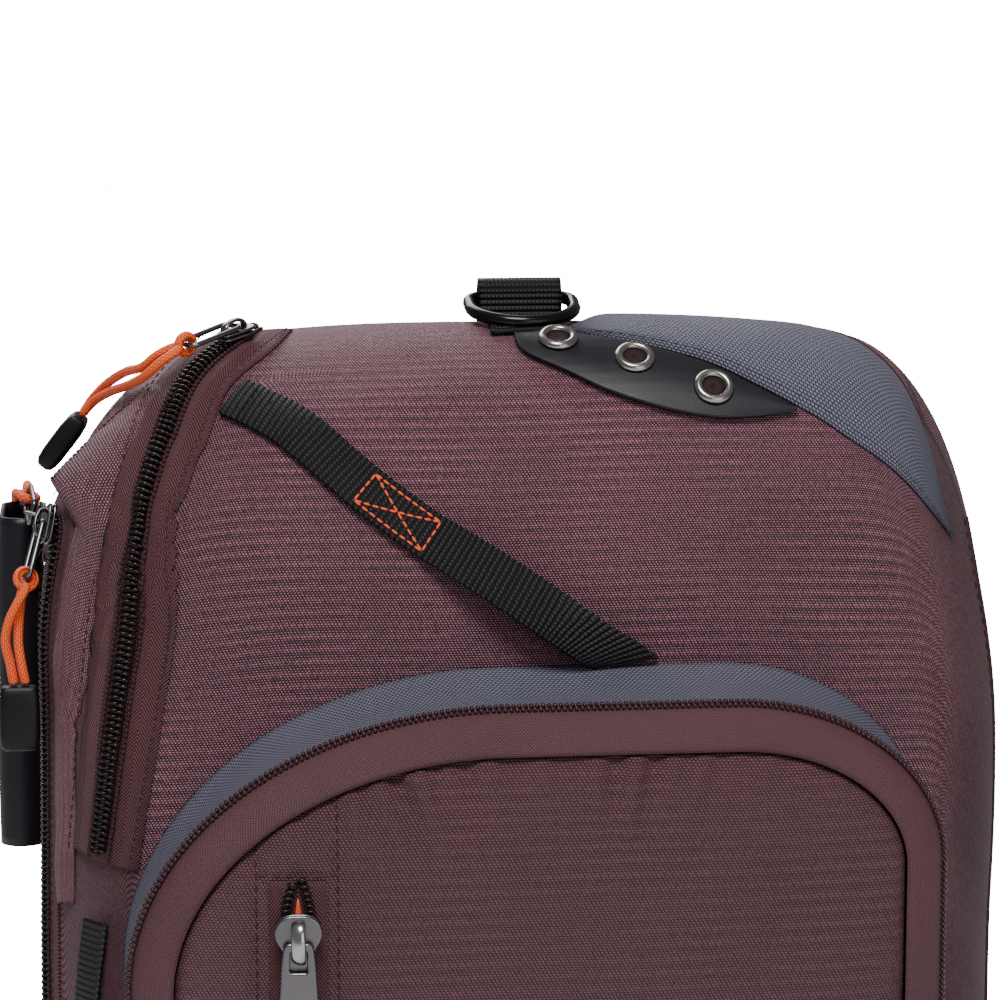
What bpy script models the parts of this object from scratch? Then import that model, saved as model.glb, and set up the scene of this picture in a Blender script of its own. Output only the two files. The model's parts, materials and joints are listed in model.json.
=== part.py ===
"""A soft fishing tackle backpack, standing upright, with its front towards -Y and +Z up, in metres.

The body is a ring of fabric lofted through sections along its depth, with a domed front panel and a
padded back panel. A pocket stands out of the front, and webbing, zips and hardware lie on the fabric.
"""

import math

import bmesh
import bpy
import numpy as np
from mathutils import Matrix, Vector
from mathutils.bvhtree import BVHTree

# Body
BODY_HALF_WIDTH = 0.1295
BODY_HEIGHT = 0.3915
BODY_BACK = 0.075
BODY_FRONT = 0.075
FABRIC = 0.0016
SEAM_GAP = 0.0009
CLEARANCE = 0.0003
LIFT = 0.0007
CORNER_DEEP = 0.055
CORNER_SIDE = 0.028
CORNER_TOP = 0.080
CORNER_FOOT = 0.012
FOOT_RADIUS = 0.020
TOP_CROWN = 0.0045
BACK_DROP = 0.022
PANEL_DOME = 0.003
SHOULDER_LEFT = (0.058, 0.078)
SHOULDER_RIGHT = (0.044, 0.100)
SEAM_TURN = 56.0

# Turn of each section about the front corner in degrees, or its place on the straight side as a
# share from the back, and how far the shoulders tighten there.
SIDE_STATIONS = (0.0, 0.35, 0.7)
GUSSET_TURNS = (0.0, 20.0, 38.0)
PANEL_TURNS = (72.0, 90.0)
PANEL_SHARES = (0.86, 0.6, 0.3)
FOOT_TURN = 45.0
TIGHTEN_ACROSS = 0.25
TIGHTEN_DOWN = 0.40

# Dents and swells of the soft body: place on the front in shares of the half width and height, the
# reach as a share of the half width, and the depth as a share of the corner depth.
DENTS = (
    # across, up, reach, depth
    (-0.72, 0.80, 0.22, 0.055),
    (-0.10, 0.88, 0.45, 0.040),
    (0.62, 0.82, 0.26, 0.045),
    (-0.90, 0.55, 0.16, -0.040),
    (0.88, 0.60, 0.18, 0.050),
)

# Points of a ring on each stretch
RING_BOTTOM = 4
RING_FOOT = 3
RING_SIDE = 6
RING_SHOULDER = 7
RING_TOP = 8

# Padded back
BACK_PAD = 0.009
BACK_ROUND = 0.006
BASE_WALL = 0.003

# Front pocket, with its outline measured at its zip
POCKET_LEFT = 0.1085
POCKET_RIGHT = 0.0995
POCKET_LOW = 0.024
POCKET_HIGH = 0.3052
POCKET_SHOULDER_LEFT = (0.095, 0.070)
POCKET_SHOULDER_RIGHT = (0.055, 0.042)
POCKET_FOOT = 0.024
POCKET_FLARE = 0.0010
POCKET_RISE = 0.0060
POCKET_TRIM_DEEP = 0.022
POCKET_TAPE_DEEP = 0.009
POCKET_TAPE_WIDE = 0.0110
POCKET_FACE_DEEP = 0.007
POCKET_FACE_SHARES = (0.87, 0.55)

# Grey yoke, black tab and webbing are drawn on a pattern plane that leans back over the top
PATTERN_LEAN = 35.0
TRIM_THICK = 0.0012
TAB_THICK = 0.0014
WEBBING_THICK = 0.0016
WEBBING_WIDE = 0.0125
WEBBING_BOW = 0.0062
WEBBING_SEWN = 0.52
COIL_WIDE = 0.0046
COIL_THICK = 0.0020
TAPE_THICK = 0.0007
MAIN_TAPE_WIDE = 0.024
SIDE_TAPE_WIDE = 0.020

# Eyelets
EYELET_OUTER = 0.0054
EYELET_HOLE = 0.0031
EYELET_HIGH = 0.0011

# Ring on its webbing loop
RING_WIRE = 0.0036
RING_INSIDE = 0.0245
RING_LONG = 0.0195
RING_TILT = 15.0
LOOP_WIDE = 0.0225
LOOP_HIGH = 0.0090
LOOP_WALL = 0.0015
LOOP_X = 0.0007
LOOP_FORWARD = 0.0345
LOOP_STRAP_LONG = 0.026

# Zip pulls and their cords
PULL_WIRE = 0.0014
PULL_TURN = 0.8
PULL_WIDE = 0.0066
SLIDER_WIDE = 0.0078
SLIDER_LONG = 0.0105
SLIDER_BASE = 0.0022
SLIDER_TUNNEL = 0.0020
SLIDER_ROOF = 0.0008
SLIDER_BRIDGE = 0.0028
CORD_DIAMETER = 0.0025
END_LONG = 0.0170
END_WIDE = 0.0105
END_THICK = 0.0062

# Slider and flat pull on the pocket's face
FACE_SLIDER_WIDE = 0.0120
FACE_SLIDER_LONG = 0.0150
FACE_SLIDER_BASE = 0.0024
FACE_TUNNEL = 0.0030
FACE_BRIDGE = 0.0030
FACE_BRIDGE_LONG = 0.0100
FACE_PULL_TOP = 0.0085
FACE_PULL_FOOT = 0.0108
FACE_PULL_LONG = 0.0300
FACE_PULL_THICK = 0.0016
FACE_WINDOW = (0.0040, 0.0058)
FACE_ZIP_X = -0.0665
FACE_ZIP_TOP = 0.262
FACE_ZIP_LOW = 0.120
FACE_SLIDER_Z = 0.2500
FACE_TAPE_WIDE = 0.014

# Sheath and label tab
SHEATH_DEEP = 0.036
SHEATH_WIDE = 0.0125
SHEATH_WALL = 0.0012
SHEATH_RISE = 0.0007
SHEATH_LONG = 0.0925
SHEATH_Y = 0.022
SHEATH_LEAN = 0.0014
LABEL_WIDE = 0.008

# What the back carries
STRAP_WIDE = 0.060
STRAP_THICK = 0.009
STRAP_SPREAD = 0.062
STRAP_TOP = BODY_HEIGHT - 0.0415
STRAP_END = 0.150
STRAP_STAND = 0.022
BELT_WIDE = 0.025
BELT_SPREAD = 0.095
BELT_END = 0.032
BUCKLE_LONG = 0.022
BUCKLE_THICK = 0.005
HANDLE_HALF = 0.026
HANDLE_STAND = 0.022
HANDLE_THICK = 0.003
HANDLE_Z = BODY_HEIGHT - 0.0415

COLLECTION = "fishing_tackle_backpack"
MATERIALS = {
    # name: red, green, blue, roughness, metallic
    "brown_fabric": (0.095, 0.048, 0.050, 0.80, 0.0),
    "grey_fabric": (0.100, 0.108, 0.140, 0.80, 0.0),
    "maroon_tape": (0.070, 0.020, 0.020, 0.85, 0.0),
    "coil_plastic": (0.030, 0.012, 0.014, 0.45, 0.0),
    "black_webbing": (0.010, 0.010, 0.011, 0.75, 0.0),
    "black_sheet": (0.022, 0.023, 0.028, 0.45, 0.0),
    "black_plastic": (0.010, 0.010, 0.011, 0.30, 0.0),
    "orange_cord": (1.000, 0.110, 0.020, 0.60, 0.0),
    "gunmetal": (0.130, 0.125, 0.135, 0.30, 1.0),
    "nickel": (0.600, 0.580, 0.550, 0.25, 1.0),
    "black_mesh": (0.020, 0.020, 0.022, 0.90, 0.0),
}


def clear_scene():
    for obj in list(bpy.data.objects):
        bpy.data.objects.remove(obj, do_unlink=True)


def make_collection(name):
    made = bpy.data.collections.new(name)
    bpy.context.scene.collection.children.link(made)
    return made


def material(name):
    found = bpy.data.materials.get(name)
    if found:
        return found
    red, green, blue, roughness, metallic = MATERIALS[name]
    made = bpy.data.materials.new(name)
    made.use_nodes = True
    shader = made.node_tree.nodes["Principled BSDF"]
    shader.inputs["Base Color"].default_value = (red, green, blue, 1.0)
    shader.inputs["Roughness"].default_value = roughness
    shader.inputs["Metallic"].default_value = metallic
    return made


def add(name, data, finish, smooth=40.0):
    """Links an object with its finish, shaded smooth up to an angle in degrees."""
    made = bpy.data.objects.new(name, data)
    PARTS.objects.link(made)
    data.materials.clear()
    data.materials.append(material(finish))
    if isinstance(data, bpy.types.Mesh):
        data.shade_smooth()
        data.set_sharp_from_angle(angle=math.radians(smooth))
    return made


# Sections and rings

def arc(centre, reach, first, last, count):
    """Points of an elliptic arc in the XZ plane, without its last one."""
    turns = np.radians(np.linspace(first, last, count, endpoint=False))
    return [(centre[0] + reach[0] * math.cos(t), centre[1] + reach[1] * math.sin(t)) for t in turns]


def line(first, last, count):
    """Points of a straight line in the XZ plane, without its last one."""
    shares = np.linspace(0.0, 1.0, count, endpoint=False)
    return [tuple(np.add(first, np.subtract(last, first) * share)) for share in shares]


def outline(left, right, low, high, foot, shoulder_left, shoulder_right, crown):
    """A closed ring seen from the front, from the middle of its bottom edge, turning anticlockwise."""
    wide_l, tall_l = shoulder_left
    wide_r, tall_r = shoulder_right
    top_l, top_r = wide_l - left, right - wide_r
    points = line((0.0, low), (right - foot, low), RING_BOTTOM)
    points += arc((right - foot, low + foot), (foot, foot), -90.0, 0.0, RING_FOOT)
    points += line((right, low + foot), (right, high - tall_r), RING_SIDE)
    points += arc((top_r, high - tall_r), shoulder_right, 0.0, 90.0, RING_SHOULDER)
    points += line((top_r, high), (top_l, high), RING_TOP)
    points += arc((top_l, high - tall_l), shoulder_left, 90.0, 180.0, RING_SHOULDER)
    points += line((-left, high - tall_l), (-left, low + foot), RING_SIDE)
    points += arc((foot - left, low + foot), (foot, foot), 180.0, 270.0, RING_FOOT)
    points += line((foot - left, low), (0.0, low), RING_BOTTOM)
    ring = np.array(points)
    middle, half = (top_l + top_r) / 2, (top_r - top_l) / 2
    bulge = np.clip(1 - ((ring[:, 0] - middle) / half) ** 2, 0, 1) * (ring[:, 1] > high - 1e-6)
    ring[:, 1] += crown * bulge
    return ring


def dented(points):
    """Moves points of the body in along Y, where a dent of the table lies."""
    moved = points.copy()
    for across, up, reach, depth in DENTS:
        centre = np.array([across * BODY_HALF_WIDTH, up * BODY_HEIGHT])
        apart = np.linalg.norm(points[..., [0, 2]] - centre, axis=-1) / (reach * BODY_HALF_WIDTH)
        front = np.clip(-points[..., 1] / BODY_FRONT, 0, 1)
        moved[..., 1] += depth * CORNER_DEEP * np.exp(-2 * apart ** 2) * front
    return moved


def body_ring(turn):
    """The body's section where its front corner has turned by so many degrees, at full size at 0."""
    angle = math.radians(turn)
    shrink = 1 - math.cos(angle)
    foot = max(0.0, (turn - FOOT_TURN) / (90.0 - FOOT_TURN)) ** 2 * CORNER_FOOT
    side = BODY_HALF_WIDTH - shrink * CORNER_SIDE
    wide, tall = 1 - TIGHTEN_ACROSS * shrink, 1 - TIGHTEN_DOWN * shrink
    ring = outline(
        side, side, foot, BODY_HEIGHT - shrink * CORNER_TOP, FOOT_RADIUS,
        (SHOULDER_LEFT[0] * wide, SHOULDER_LEFT[1] * tall),
        (SHOULDER_RIGHT[0] * wide, SHOULDER_RIGHT[1] * tall),
        TOP_CROWN * (1 - shrink),
    )
    depth = -BODY_FRONT + CORNER_DEEP * (1 - math.sin(angle))
    return np.insert(ring, 1, depth, axis=1)


def side_ring(share):
    """The body's section with share 0 at the back edge, where its top is lower, and 1 at the corner."""
    ring = body_ring(0.0)
    ring[:, 1] = BODY_BACK + share * (ring[0, 1] - BODY_BACK)
    ring[:, 2] *= 1 - BACK_DROP / BODY_HEIGHT * (1 - share) ** 2
    return ring


def panel_ring(share):
    """A ring of the domed front panel, drawn in to a share of its flat edge."""
    edge = body_ring(90.0)
    centre = edge.mean(axis=0)
    ring = centre + (edge - centre) * share
    ring[:, 1] = -BODY_FRONT - PANEL_DOME * (1 - share ** 2)
    return ring


def pocket_ring(inset, stand):
    """A section of the pocket, inset from its zip outline and standing out from the body's front."""
    grow = -inset
    ring = outline(
        POCKET_LEFT + grow, POCKET_RIGHT + grow, POCKET_LOW - grow, POCKET_HIGH + grow, POCKET_FOOT,
        (POCKET_SHOULDER_LEFT[0] + grow, POCKET_SHOULDER_LEFT[1] + grow),
        (POCKET_SHOULDER_RIGHT[0] + grow, POCKET_SHOULDER_RIGHT[1] + grow),
        0.0,
    )
    return np.insert(ring, 1, -BODY_FRONT - stand, axis=1)


# Meshes from grids of points

def trimmed(grid, gap, ends):
    """Draws a grid's first or last rows or columns in by half a gap."""
    made = grid.copy()
    for axis, edge, inner in (("r", 0, 1), ("R", -1, -2)):
        if axis in ends:
            step = grid[inner] - grid[edge]
            made[edge] += step / np.linalg.norm(step, axis=-1, keepdims=True) * gap / 2
    for axis, edge, inner in (("c", 0, 1), ("C", -1, -2)):
        if axis in ends:
            step = made[:, inner] - made[:, edge]
            made[:, edge] += step / np.linalg.norm(step, axis=-1, keepdims=True) * gap / 2
    return made


def grid_faces(rows, columns, closed):
    last = columns if closed else columns - 1
    faces = []
    for r in range(rows - 1):
        for c in range(last):
            nxt = (c + 1) % columns
            faces.append((r * columns + c, r * columns + nxt, (r + 1) * columns + nxt, (r + 1) * columns + c))
    return faces


def facing(points, faces, inside):
    """The faces, turned so that most of them look away from the inside point."""
    score = 0.0
    for face in faces[:: max(1, len(faces) // 40)]:
        a, b, c = (np.array(points[i]) for i in face[:3])
        score += np.dot(np.cross(b - a, c - a), a - inside)
    return faces if score > 0 else [tuple(reversed(face)) for face in faces]


def mesh_of(name, points, faces, inside):
    made = bpy.data.meshes.new(name)
    made.from_pydata([tuple(p) for p in points], [], facing(points, faces, inside))
    made.update()
    return made


def wall(name, grid, thick, finish, inside, closed=False, capped=False, outward=False):
    """An open sheet through a grid of points, thickened inwards, or outwards from what it lies on."""
    rows, columns = grid.shape[:2]
    points = grid.reshape(-1, 3)
    faces = grid_faces(rows, columns, closed)
    if capped:
        faces.append(tuple(range((rows - 1) * columns, rows * columns)))
    made = add(name, mesh_of(name, points, faces, np.array(inside)), finish)
    solid = made.modifiers.new("Wall", "SOLIDIFY")
    solid.thickness = thick
    solid.offset = 1.0 if outward else -1.0
    solid.use_even_offset = False
    return made


def normals_of(grid, closed, capped):
    """The outward normal of a surface at each point of its grid."""
    rows, columns = grid.shape[:2]
    points = grid.reshape(-1, 3)
    faces = grid_faces(rows, columns, closed)
    if capped:
        faces.append(tuple(range((rows - 1) * columns, rows * columns)))
    mesh = mesh_of("normals", points, faces, BODY_CORE)
    found = np.array([tuple(v.normal) for v in mesh.vertices]).reshape(grid.shape)
    bpy.data.meshes.remove(mesh)
    return found


def layers(name, outer, inner, finish, closed=False, capped=False):
    """A closed wall between an outer and an inner grid of points."""
    rows, columns = outer.shape[:2]
    count = rows * columns
    faces = grid_faces(rows, columns, closed)
    if capped:
        faces.append(tuple(range((rows - 1) * columns, count)))
    faces += [tuple(count + i for i in reversed(face)) for face in faces]
    edge = list(range(columns)) + ([0] if closed else [])
    if not closed:
        edge += [r * columns + columns - 1 for r in range(1, rows)]
        edge += [(rows - 1) * columns + c for c in range(columns - 2, -1, -1)]
        edge += [r * columns for r in range(rows - 2, -1, -1)]
    elif not capped:
        back = [(rows - 1) * columns + c % columns for c in range(columns, -1, -1)]
        faces += [(b, a, a + count, b + count) for a, b in zip(back, back[1:])]
    faces += [(b, a, a + count, b + count) for a, b in zip(edge, edge[1:])]
    mesh = bpy.data.meshes.new(name)
    mesh.from_pydata([tuple(p) for p in np.concatenate([outer.reshape(-1, 3), inner.reshape(-1, 3)])], [], faces)
    bm = bmesh.new()
    bm.from_mesh(mesh)
    bmesh.ops.recalc_face_normals(bm, faces=bm.faces)
    bm.to_mesh(mesh)
    bm.free()
    return add(name, mesh, finish)


def loft(name, rings, finish, inside, smooth=40.0):
    """A closed solid through rings of points, with a flat face at each end."""
    rows, columns = rings.shape[:2]
    faces = grid_faces(rows, columns, True)
    faces.append(tuple(reversed(range(columns))))
    faces.append(tuple(range((rows - 1) * columns, rows * columns)))
    mesh = mesh_of(name, rings.reshape(-1, 3), faces, np.array(inside))
    bm = bmesh.new()
    bm.from_mesh(mesh)
    bmesh.ops.recalc_face_normals(bm, faces=bm.faces)
    bm.to_mesh(mesh)
    bm.free()
    return add(name, mesh, finish, smooth)


# Smooth curves and touching the fabric

def smooth(points, count):
    """Points evenly spaced along a smooth curve through a few chosen ones."""
    given = np.array(points, float)
    ends = np.vstack([2 * given[0] - given[1], given, 2 * given[-1] - given[-2]])
    fine = []
    for i in range(1, len(ends) - 2):
        for t in np.linspace(0, 1, 24, endpoint=False):
            a, b, c, d = ends[i - 1], ends[i], ends[i + 1], ends[i + 2]
            fine.append(0.5 * (2 * b + (c - a) * t + (2 * a - 5 * b + 4 * c - d) * t * t
                               + (3 * b - a - 3 * c + d) * t ** 3))
    fine = np.array(fine + [given[-1]])
    along = np.r_[0, np.cumsum(np.linalg.norm(np.diff(fine, axis=0), axis=1))]
    wanted = np.linspace(0, along[-1], count)
    return np.stack([np.interp(wanted, along, fine[:, k]) for k in range(fine.shape[1])], axis=1)


def tree_of(grid, closed, capped=False):
    rows, columns = grid.shape[:2]
    faces = grid_faces(rows, columns, closed)
    if capped:
        faces.append(tuple(range((rows - 1) * columns, rows * columns)))
    faces = facing(grid.reshape(-1, 3), faces, BODY_CORE)
    return BVHTree.FromPolygons([Vector(p) for p in grid.reshape(-1, 3)], faces)


def pattern_point(across, rise):
    """The body's surface under a point of the leaning pattern plane."""
    lean = math.radians(PATTERN_LEAN)
    up = Vector((0, math.sin(lean), math.cos(lean)))
    into = Vector((0, math.cos(lean), -math.sin(lean)))
    place, normal, _, _ = BODY_TREE.ray_cast(Vector((across, 0, 0)) + up * rise - into, into)
    return place, normal


def side_point(depth, height):
    """The body's left side at a depth and a height."""
    place, normal, _, _ = BODY_TREE.ray_cast(Vector((-1.0, depth, height)), Vector((1, 0, 0)))
    return place, normal


def face_point(across, height):
    """The pocket's face at a place and a height."""
    place, normal, _, _ = POCKET_TREE.ray_cast(Vector((across, -1.0, height)), Vector((0, 1, 0)))
    return place, normal


def raised(grid, tree):
    """Lifts the points of a grid until the straight lines between them clear the surface below."""
    grid = grid.copy()
    rows, columns = grid.shape[:2]
    for _ in range(4):
        lift = np.zeros((rows, columns))
        for r in range(rows - 1):
            for c in range(columns - 1):
                pairs = (((r, c), (r, c + 1)), ((r, c), (r + 1, c)), ((r, c), (r + 1, c + 1)),
                         ((r + 1, c), (r, c + 1)), ((r + 1, c), (r + 1, c + 1)), ((r, c + 1), (r + 1, c + 1)))
                for one, two in pairs:
                    for share in (0.0, 0.25, 0.5, 0.75, 1.0):
                        point = Vector(grid[one] * (1 - share) + grid[two] * share)
                        place, normal, _, _ = tree.find_nearest(point)
                        lack = CLEARANCE * 1.2 - (point - place).dot(normal)
                        for corner in (one, two):
                            lift[corner] = max(lift[corner], lack)
        if not lift.any():
            break
        for r, c in np.argwhere(lift > 0):
            _, normal, _, _ = tree.find_nearest(Vector(grid[r, c]))
            grid[r, c] += np.array(normal) * lift[r, c]
    return grid


def patch(first, second, columns, rows, lift, touch):
    """A grid between two edges drawn in the pattern, laid on the surface and lifted off it."""
    low, high = smooth(first, columns), smooth(second, columns)
    grid = np.zeros((rows, columns, 3))
    for r, share in enumerate(np.linspace(0, 1, rows)):
        for c in range(columns):
            place, normal = touch(*(low[c] + (high[c] - low[c]) * share))
            grid[r, c] = place + normal * lift
    return raised(grid, BODY_TREE)


def ribbon_grid(route, wide, columns, rows, tree, lifts, slant=0.0):
    """A grid of one width along a route on the surface, lifted by its own amount at each column.

    A slant ends it along a line that leans by that share of its width.
    """
    along = smooth(route, columns)
    grid = np.zeros((rows, columns, 3))
    for c in range(columns):
        place, normal, _, _ = tree.find_nearest(Vector(along[c]))
        ahead = Vector(along[min(c + 1, columns - 1)] - along[max(c - 1, 0)]).normalized()
        across = normal.cross(ahead).normalized()
        ending = max(0.0, (c / (columns - 1) - 0.8) / 0.2) * slant * wide
        for r, share in enumerate(np.linspace(-0.5, 0.5, rows)):
            near, up, _, _ = tree.find_nearest(place + across * wide * share + ahead * ending * share)
            grid[r, c] = near + up * lifts[c]
    return raised(grid, tree)


def tube(name, points, diameter, finish, closed=False, sides=2):
    """A round wire or cord through points, with filled ends."""
    data = bpy.data.curves.new(name, "CURVE")
    data.dimensions = "3D"
    data.bevel_depth = diameter / 2
    data.bevel_resolution = sides
    data.use_fill_caps = True
    spline = data.splines.new("POLY")
    spline.points.add(len(points) - 1)
    for target, point in zip(spline.points, points):
        target.co = (*point, 1.0)
    spline.use_cyclic_u = closed
    return add(name, data, finish)


def box(name, size, finish, bevel=0.0):
    """A box about its own origin, with rounded edges."""
    mesh = bpy.data.meshes.new(name)
    bm = bmesh.new()
    bmesh.ops.create_cube(bm, size=1.0)
    bmesh.ops.scale(bm, vec=size, verts=bm.verts)
    bm.to_mesh(mesh)
    bm.free()
    made = add(name, mesh, finish)
    if bevel:
        rounded = made.modifiers.new("Edges", "BEVEL")
        rounded.width = bevel
        rounded.segments = 1
        rounded.limit_method = "ANGLE"
    return made


def seat(along, normal, place):
    """A matrix with Y along, Z on the normal and its origin at the place."""
    up = Vector(normal).normalized()
    side = Vector(along).cross(up).normalized()
    ahead = up.cross(side)
    frame = Matrix((side, ahead, up)).transposed().to_4x4()
    return Matrix.Translation(place) @ frame


BODY_CORE = np.array((0.0, 0.0, BODY_HEIGHT / 2))

def seated(tree, place, along, half_wide, half_long):
    """A matrix for a flat-bottomed piece that rests on a curved surface without cutting into it."""
    near, normal, _, _ = tree.find_nearest(place)
    flat = seat(along, normal, near)
    rise = 0.0
    for across in (-1.0, -0.5, 0.0, 0.5, 1.0):
        for ahead in (-1.0, -0.5, 0.0, 0.5, 1.0):
            point = flat @ Vector((across * half_wide, ahead * half_long, 0))
            under, _, _, _ = tree.find_nearest(point)
            rise = max(rise, (under - near).dot(normal))
    return Matrix.Translation(normal * (rise + CLEARANCE)) @ flat


clear_scene()
PARTS = make_collection(COLLECTION)
CUTTERS = make_collection("cutters")

# The whole outside of the body, from the back edge to the middle of the front
SIDE_RINGS = [side_ring(share) for share in SIDE_STATIONS]
GUSSET_RINGS = [body_ring(turn) for turn in GUSSET_TURNS] + [body_ring(SEAM_TURN)]
PANEL_RINGS = [body_ring(turn) for turn in PANEL_TURNS] + [panel_ring(share) for share in PANEL_SHARES]
BODY_GRID = dented(np.array(SIDE_RINGS + GUSSET_RINGS + PANEL_RINGS))
SEAM_ROW = len(SIDE_RINGS) + len(GUSSET_RINGS) - 1
BODY_TREE = tree_of(BODY_GRID, closed=True, capped=True)
FOOT_COLUMN = RING_BOTTOM + RING_FOOT


BODY_NORMALS = normals_of(BODY_GRID, closed=True, capped=True)


def body_wall(name, rows, columns, ends, thick, finish, closed=False, capped=False):
    """A piece of the body's fabric, cut from its grid with a seam gap at the given ends."""
    outer = BODY_GRID[rows][:, columns]
    inner = outer - BODY_NORMALS[rows][:, columns] * thick
    outer, inner = trimmed(outer, SEAM_GAP, ends), trimmed(inner, SEAM_GAP, ends)
    return layers(name, outer, inner, finish, closed, capped)


def build_body():
    """Front panel, side gusset over the top, base panel and padded back."""
    columns = BODY_GRID.shape[1]
    every = list(range(columns))
    front, sides = list(range(SEAM_ROW, BODY_GRID.shape[0])), list(range(SEAM_ROW + 1))
    over = every[FOOT_COLUMN : columns - FOOT_COLUMN + 1]
    under = every[columns - FOOT_COLUMN :] + every[: FOOT_COLUMN + 1]
    body_wall("front_panel", front, every, "r", FABRIC, "brown_fabric", closed=True, capped=True)
    body_wall("side_gusset", sides, over, "RcC", FABRIC, "brown_fabric")
    body_wall("base_panel", sides, under, "RcC", BASE_WALL, "brown_fabric")
    edge = side_ring(0.0)
    centre = edge.mean(axis=0)
    start = BODY_BACK + SEAM_GAP
    steps = ((0.002, 0.0), (0.0, BACK_PAD * 0.3), (0.0, BACK_PAD * 0.6), (BACK_ROUND, BACK_PAD))
    rings = []
    for inset, out in steps:
        ring = centre + (edge - centre) * (1 - inset / BODY_HALF_WIDTH)
        ring[:, 2] = np.maximum(ring[:, 2], CLEARANCE)
        ring[:, 1] = start + out
        rings.append(ring)
    loft("back_panel", np.array(rings), "black_mesh", (0, start, BODY_HEIGHT / 2))



def base_ring():
    """The pocket's ring of stitching on the body."""
    ring = outline(
        POCKET_LEFT + POCKET_FLARE, POCKET_RIGHT + POCKET_FLARE, POCKET_LOW - POCKET_FLARE,
        POCKET_HIGH + POCKET_RISE, POCKET_FOOT,
        (POCKET_SHOULDER_LEFT[0], POCKET_SHOULDER_LEFT[1] + POCKET_RISE),
        (POCKET_SHOULDER_RIGHT[0], POCKET_SHOULDER_RIGHT[1] + POCKET_RISE), 0.0,
    )
    return laid_on_front(ring)


def laid_on_front(ring):
    """A ring of points across and up, laid on the body's front so that its edges clear the cloth."""
    around = np.array(ring)
    near = [around + (np.roll(around, -step, axis=0) - around) * share
            for step in (-1, 1) for share in (0.0, 0.25, 0.5)]
    depths = [[BODY_TREE.ray_cast(Vector((a, -1.0, b)), Vector((0, 1, 0)))[0].y for a, b in row] for row in near]
    return np.insert(around, 1, np.min(depths, axis=0) - CLEARANCE * 1.5, axis=1)


def pocket_share(share):
    """A ring of the pocket's domed face, drawn in to a share of its seam."""
    seam = pocket_ring(POCKET_TAPE_WIDE, POCKET_TRIM_DEEP + POCKET_TAPE_DEEP)
    centre = seam.mean(axis=0)
    ring = centre + (seam - centre) * share
    ring[:, 1] -= POCKET_FACE_DEEP * (1 - share ** 2) ** 0.7
    return ring


POCKET_GRID = np.array([
    base_ring(),
    pocket_ring(0.0, POCKET_TRIM_DEEP),
    pocket_ring(POCKET_TAPE_WIDE * 0.4, POCKET_TRIM_DEEP + POCKET_TAPE_DEEP * 0.7),
    pocket_ring(POCKET_TAPE_WIDE, POCKET_TRIM_DEEP + POCKET_TAPE_DEEP),
    *[pocket_share(share) for share in POCKET_FACE_SHARES],
])
POCKET_TREE = tree_of(POCKET_GRID, closed=True, capped=True)
POCKET_NORMALS = normals_of(POCKET_GRID, closed=True, capped=True)


def build_pocket():
    """Grey trim, zip tape and domed face, each a ring of its own cloth."""
    pieces = (
        # name, first and last row, ends with a gap, finish, capped
        ("pocket_trim", 0, 1, "R", "grey_fabric", False),
        ("pocket_zip_tape", 1, 3, "rR", "maroon_tape", False),
        ("pocket_face", 3, len(POCKET_GRID) - 1, "r", "brown_fabric", True),
    )
    for name, first, last, ends, finish, capped in pieces:
        outer = POCKET_GRID[first : last + 1]
        inner = outer - POCKET_NORMALS[first : last + 1] * FABRIC
        if first == 0:
            inner[0] = laid_on_front(inner[0][:, [0, 2]])
        outer, inner = trimmed(outer, SEAM_GAP, ends), trimmed(inner, SEAM_GAP, ends)
        layers(name, outer, inner, finish, closed=True, capped=capped)
    ring = pocket_ring(POCKET_TAPE_WIDE * 0.2, POCKET_TRIM_DEEP + POCKET_TAPE_DEEP * 0.35)
    over = [p for p in ring[RING_BOTTOM + RING_FOOT + 1 : -RING_BOTTOM - RING_FOOT]]
    grid = ribbon_grid(over, COIL_WIDE, 56, 2, POCKET_TREE, [LIFT] * 56)
    wall("pocket_zip_coil", grid, COIL_THICK, "coil_plastic", BODY_CORE, outward=True)


# Routes drawn on the pattern plane, in shares of the half width and of the pattern's height
PATTERN_HIGH = BODY_HEIGHT * math.cos(math.radians(PATTERN_LEAN))
MAIN_ZIP = (
    # across, rise
    (-0.56, 0.975), (-0.597, 0.949), (-0.691, 0.903), (-0.745, 0.848), (-0.784, 0.796),
    (-0.802, 0.753), (-0.832, 0.680), (-0.862, 0.601), (-0.884, 0.545),
)
WEBBING = (
    (-0.608, 0.879), (-0.497, 0.848), (-0.344, 0.791), (-0.190, 0.746), (0.015, 0.696), (0.128, 0.670),
)
TAB_LOW = (
    (-0.029, 0.934), (-0.012, 0.916), (0.068, 0.894), (0.148, 0.873), (0.251, 0.856), (0.352, 0.847),
    (0.430, 0.847), (0.490, 0.850), (0.530, 0.853),
)
TAB_HIGH = (
    (-0.025, 0.938), (0.053, 0.940), (0.110, 0.934), (0.199, 0.924), (0.283, 0.911), (0.368, 0.896),
    (0.448, 0.876), (0.530, 0.856),
)
YOKE_LOW = (
    (0.095, 0.944), (0.199, 0.930), (0.283, 0.917), (0.368, 0.902), (0.448, 0.882), (0.534, 0.860),
    (0.580, 0.848), (0.644, 0.828), (0.712, 0.810), (0.760, 0.795), (0.806, 0.779), (0.850, 0.765),
)
YOKE_HIGH = (
    (0.095, 0.947), (0.200, 0.985), (0.350, 1.010), (0.500, 1.000), (0.620, 0.965), (0.700, 0.930),
    (0.788, 0.899), (0.805, 0.864), (0.818, 0.830), (0.826, 0.790), (0.850, 0.768),
)
EYELETS = ((0.060, 0.927), (0.209, 0.903), (0.361, 0.873))
LABEL = ((-0.893, 0.505), (-0.905, 0.455), (-0.908, 0.405))
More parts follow.
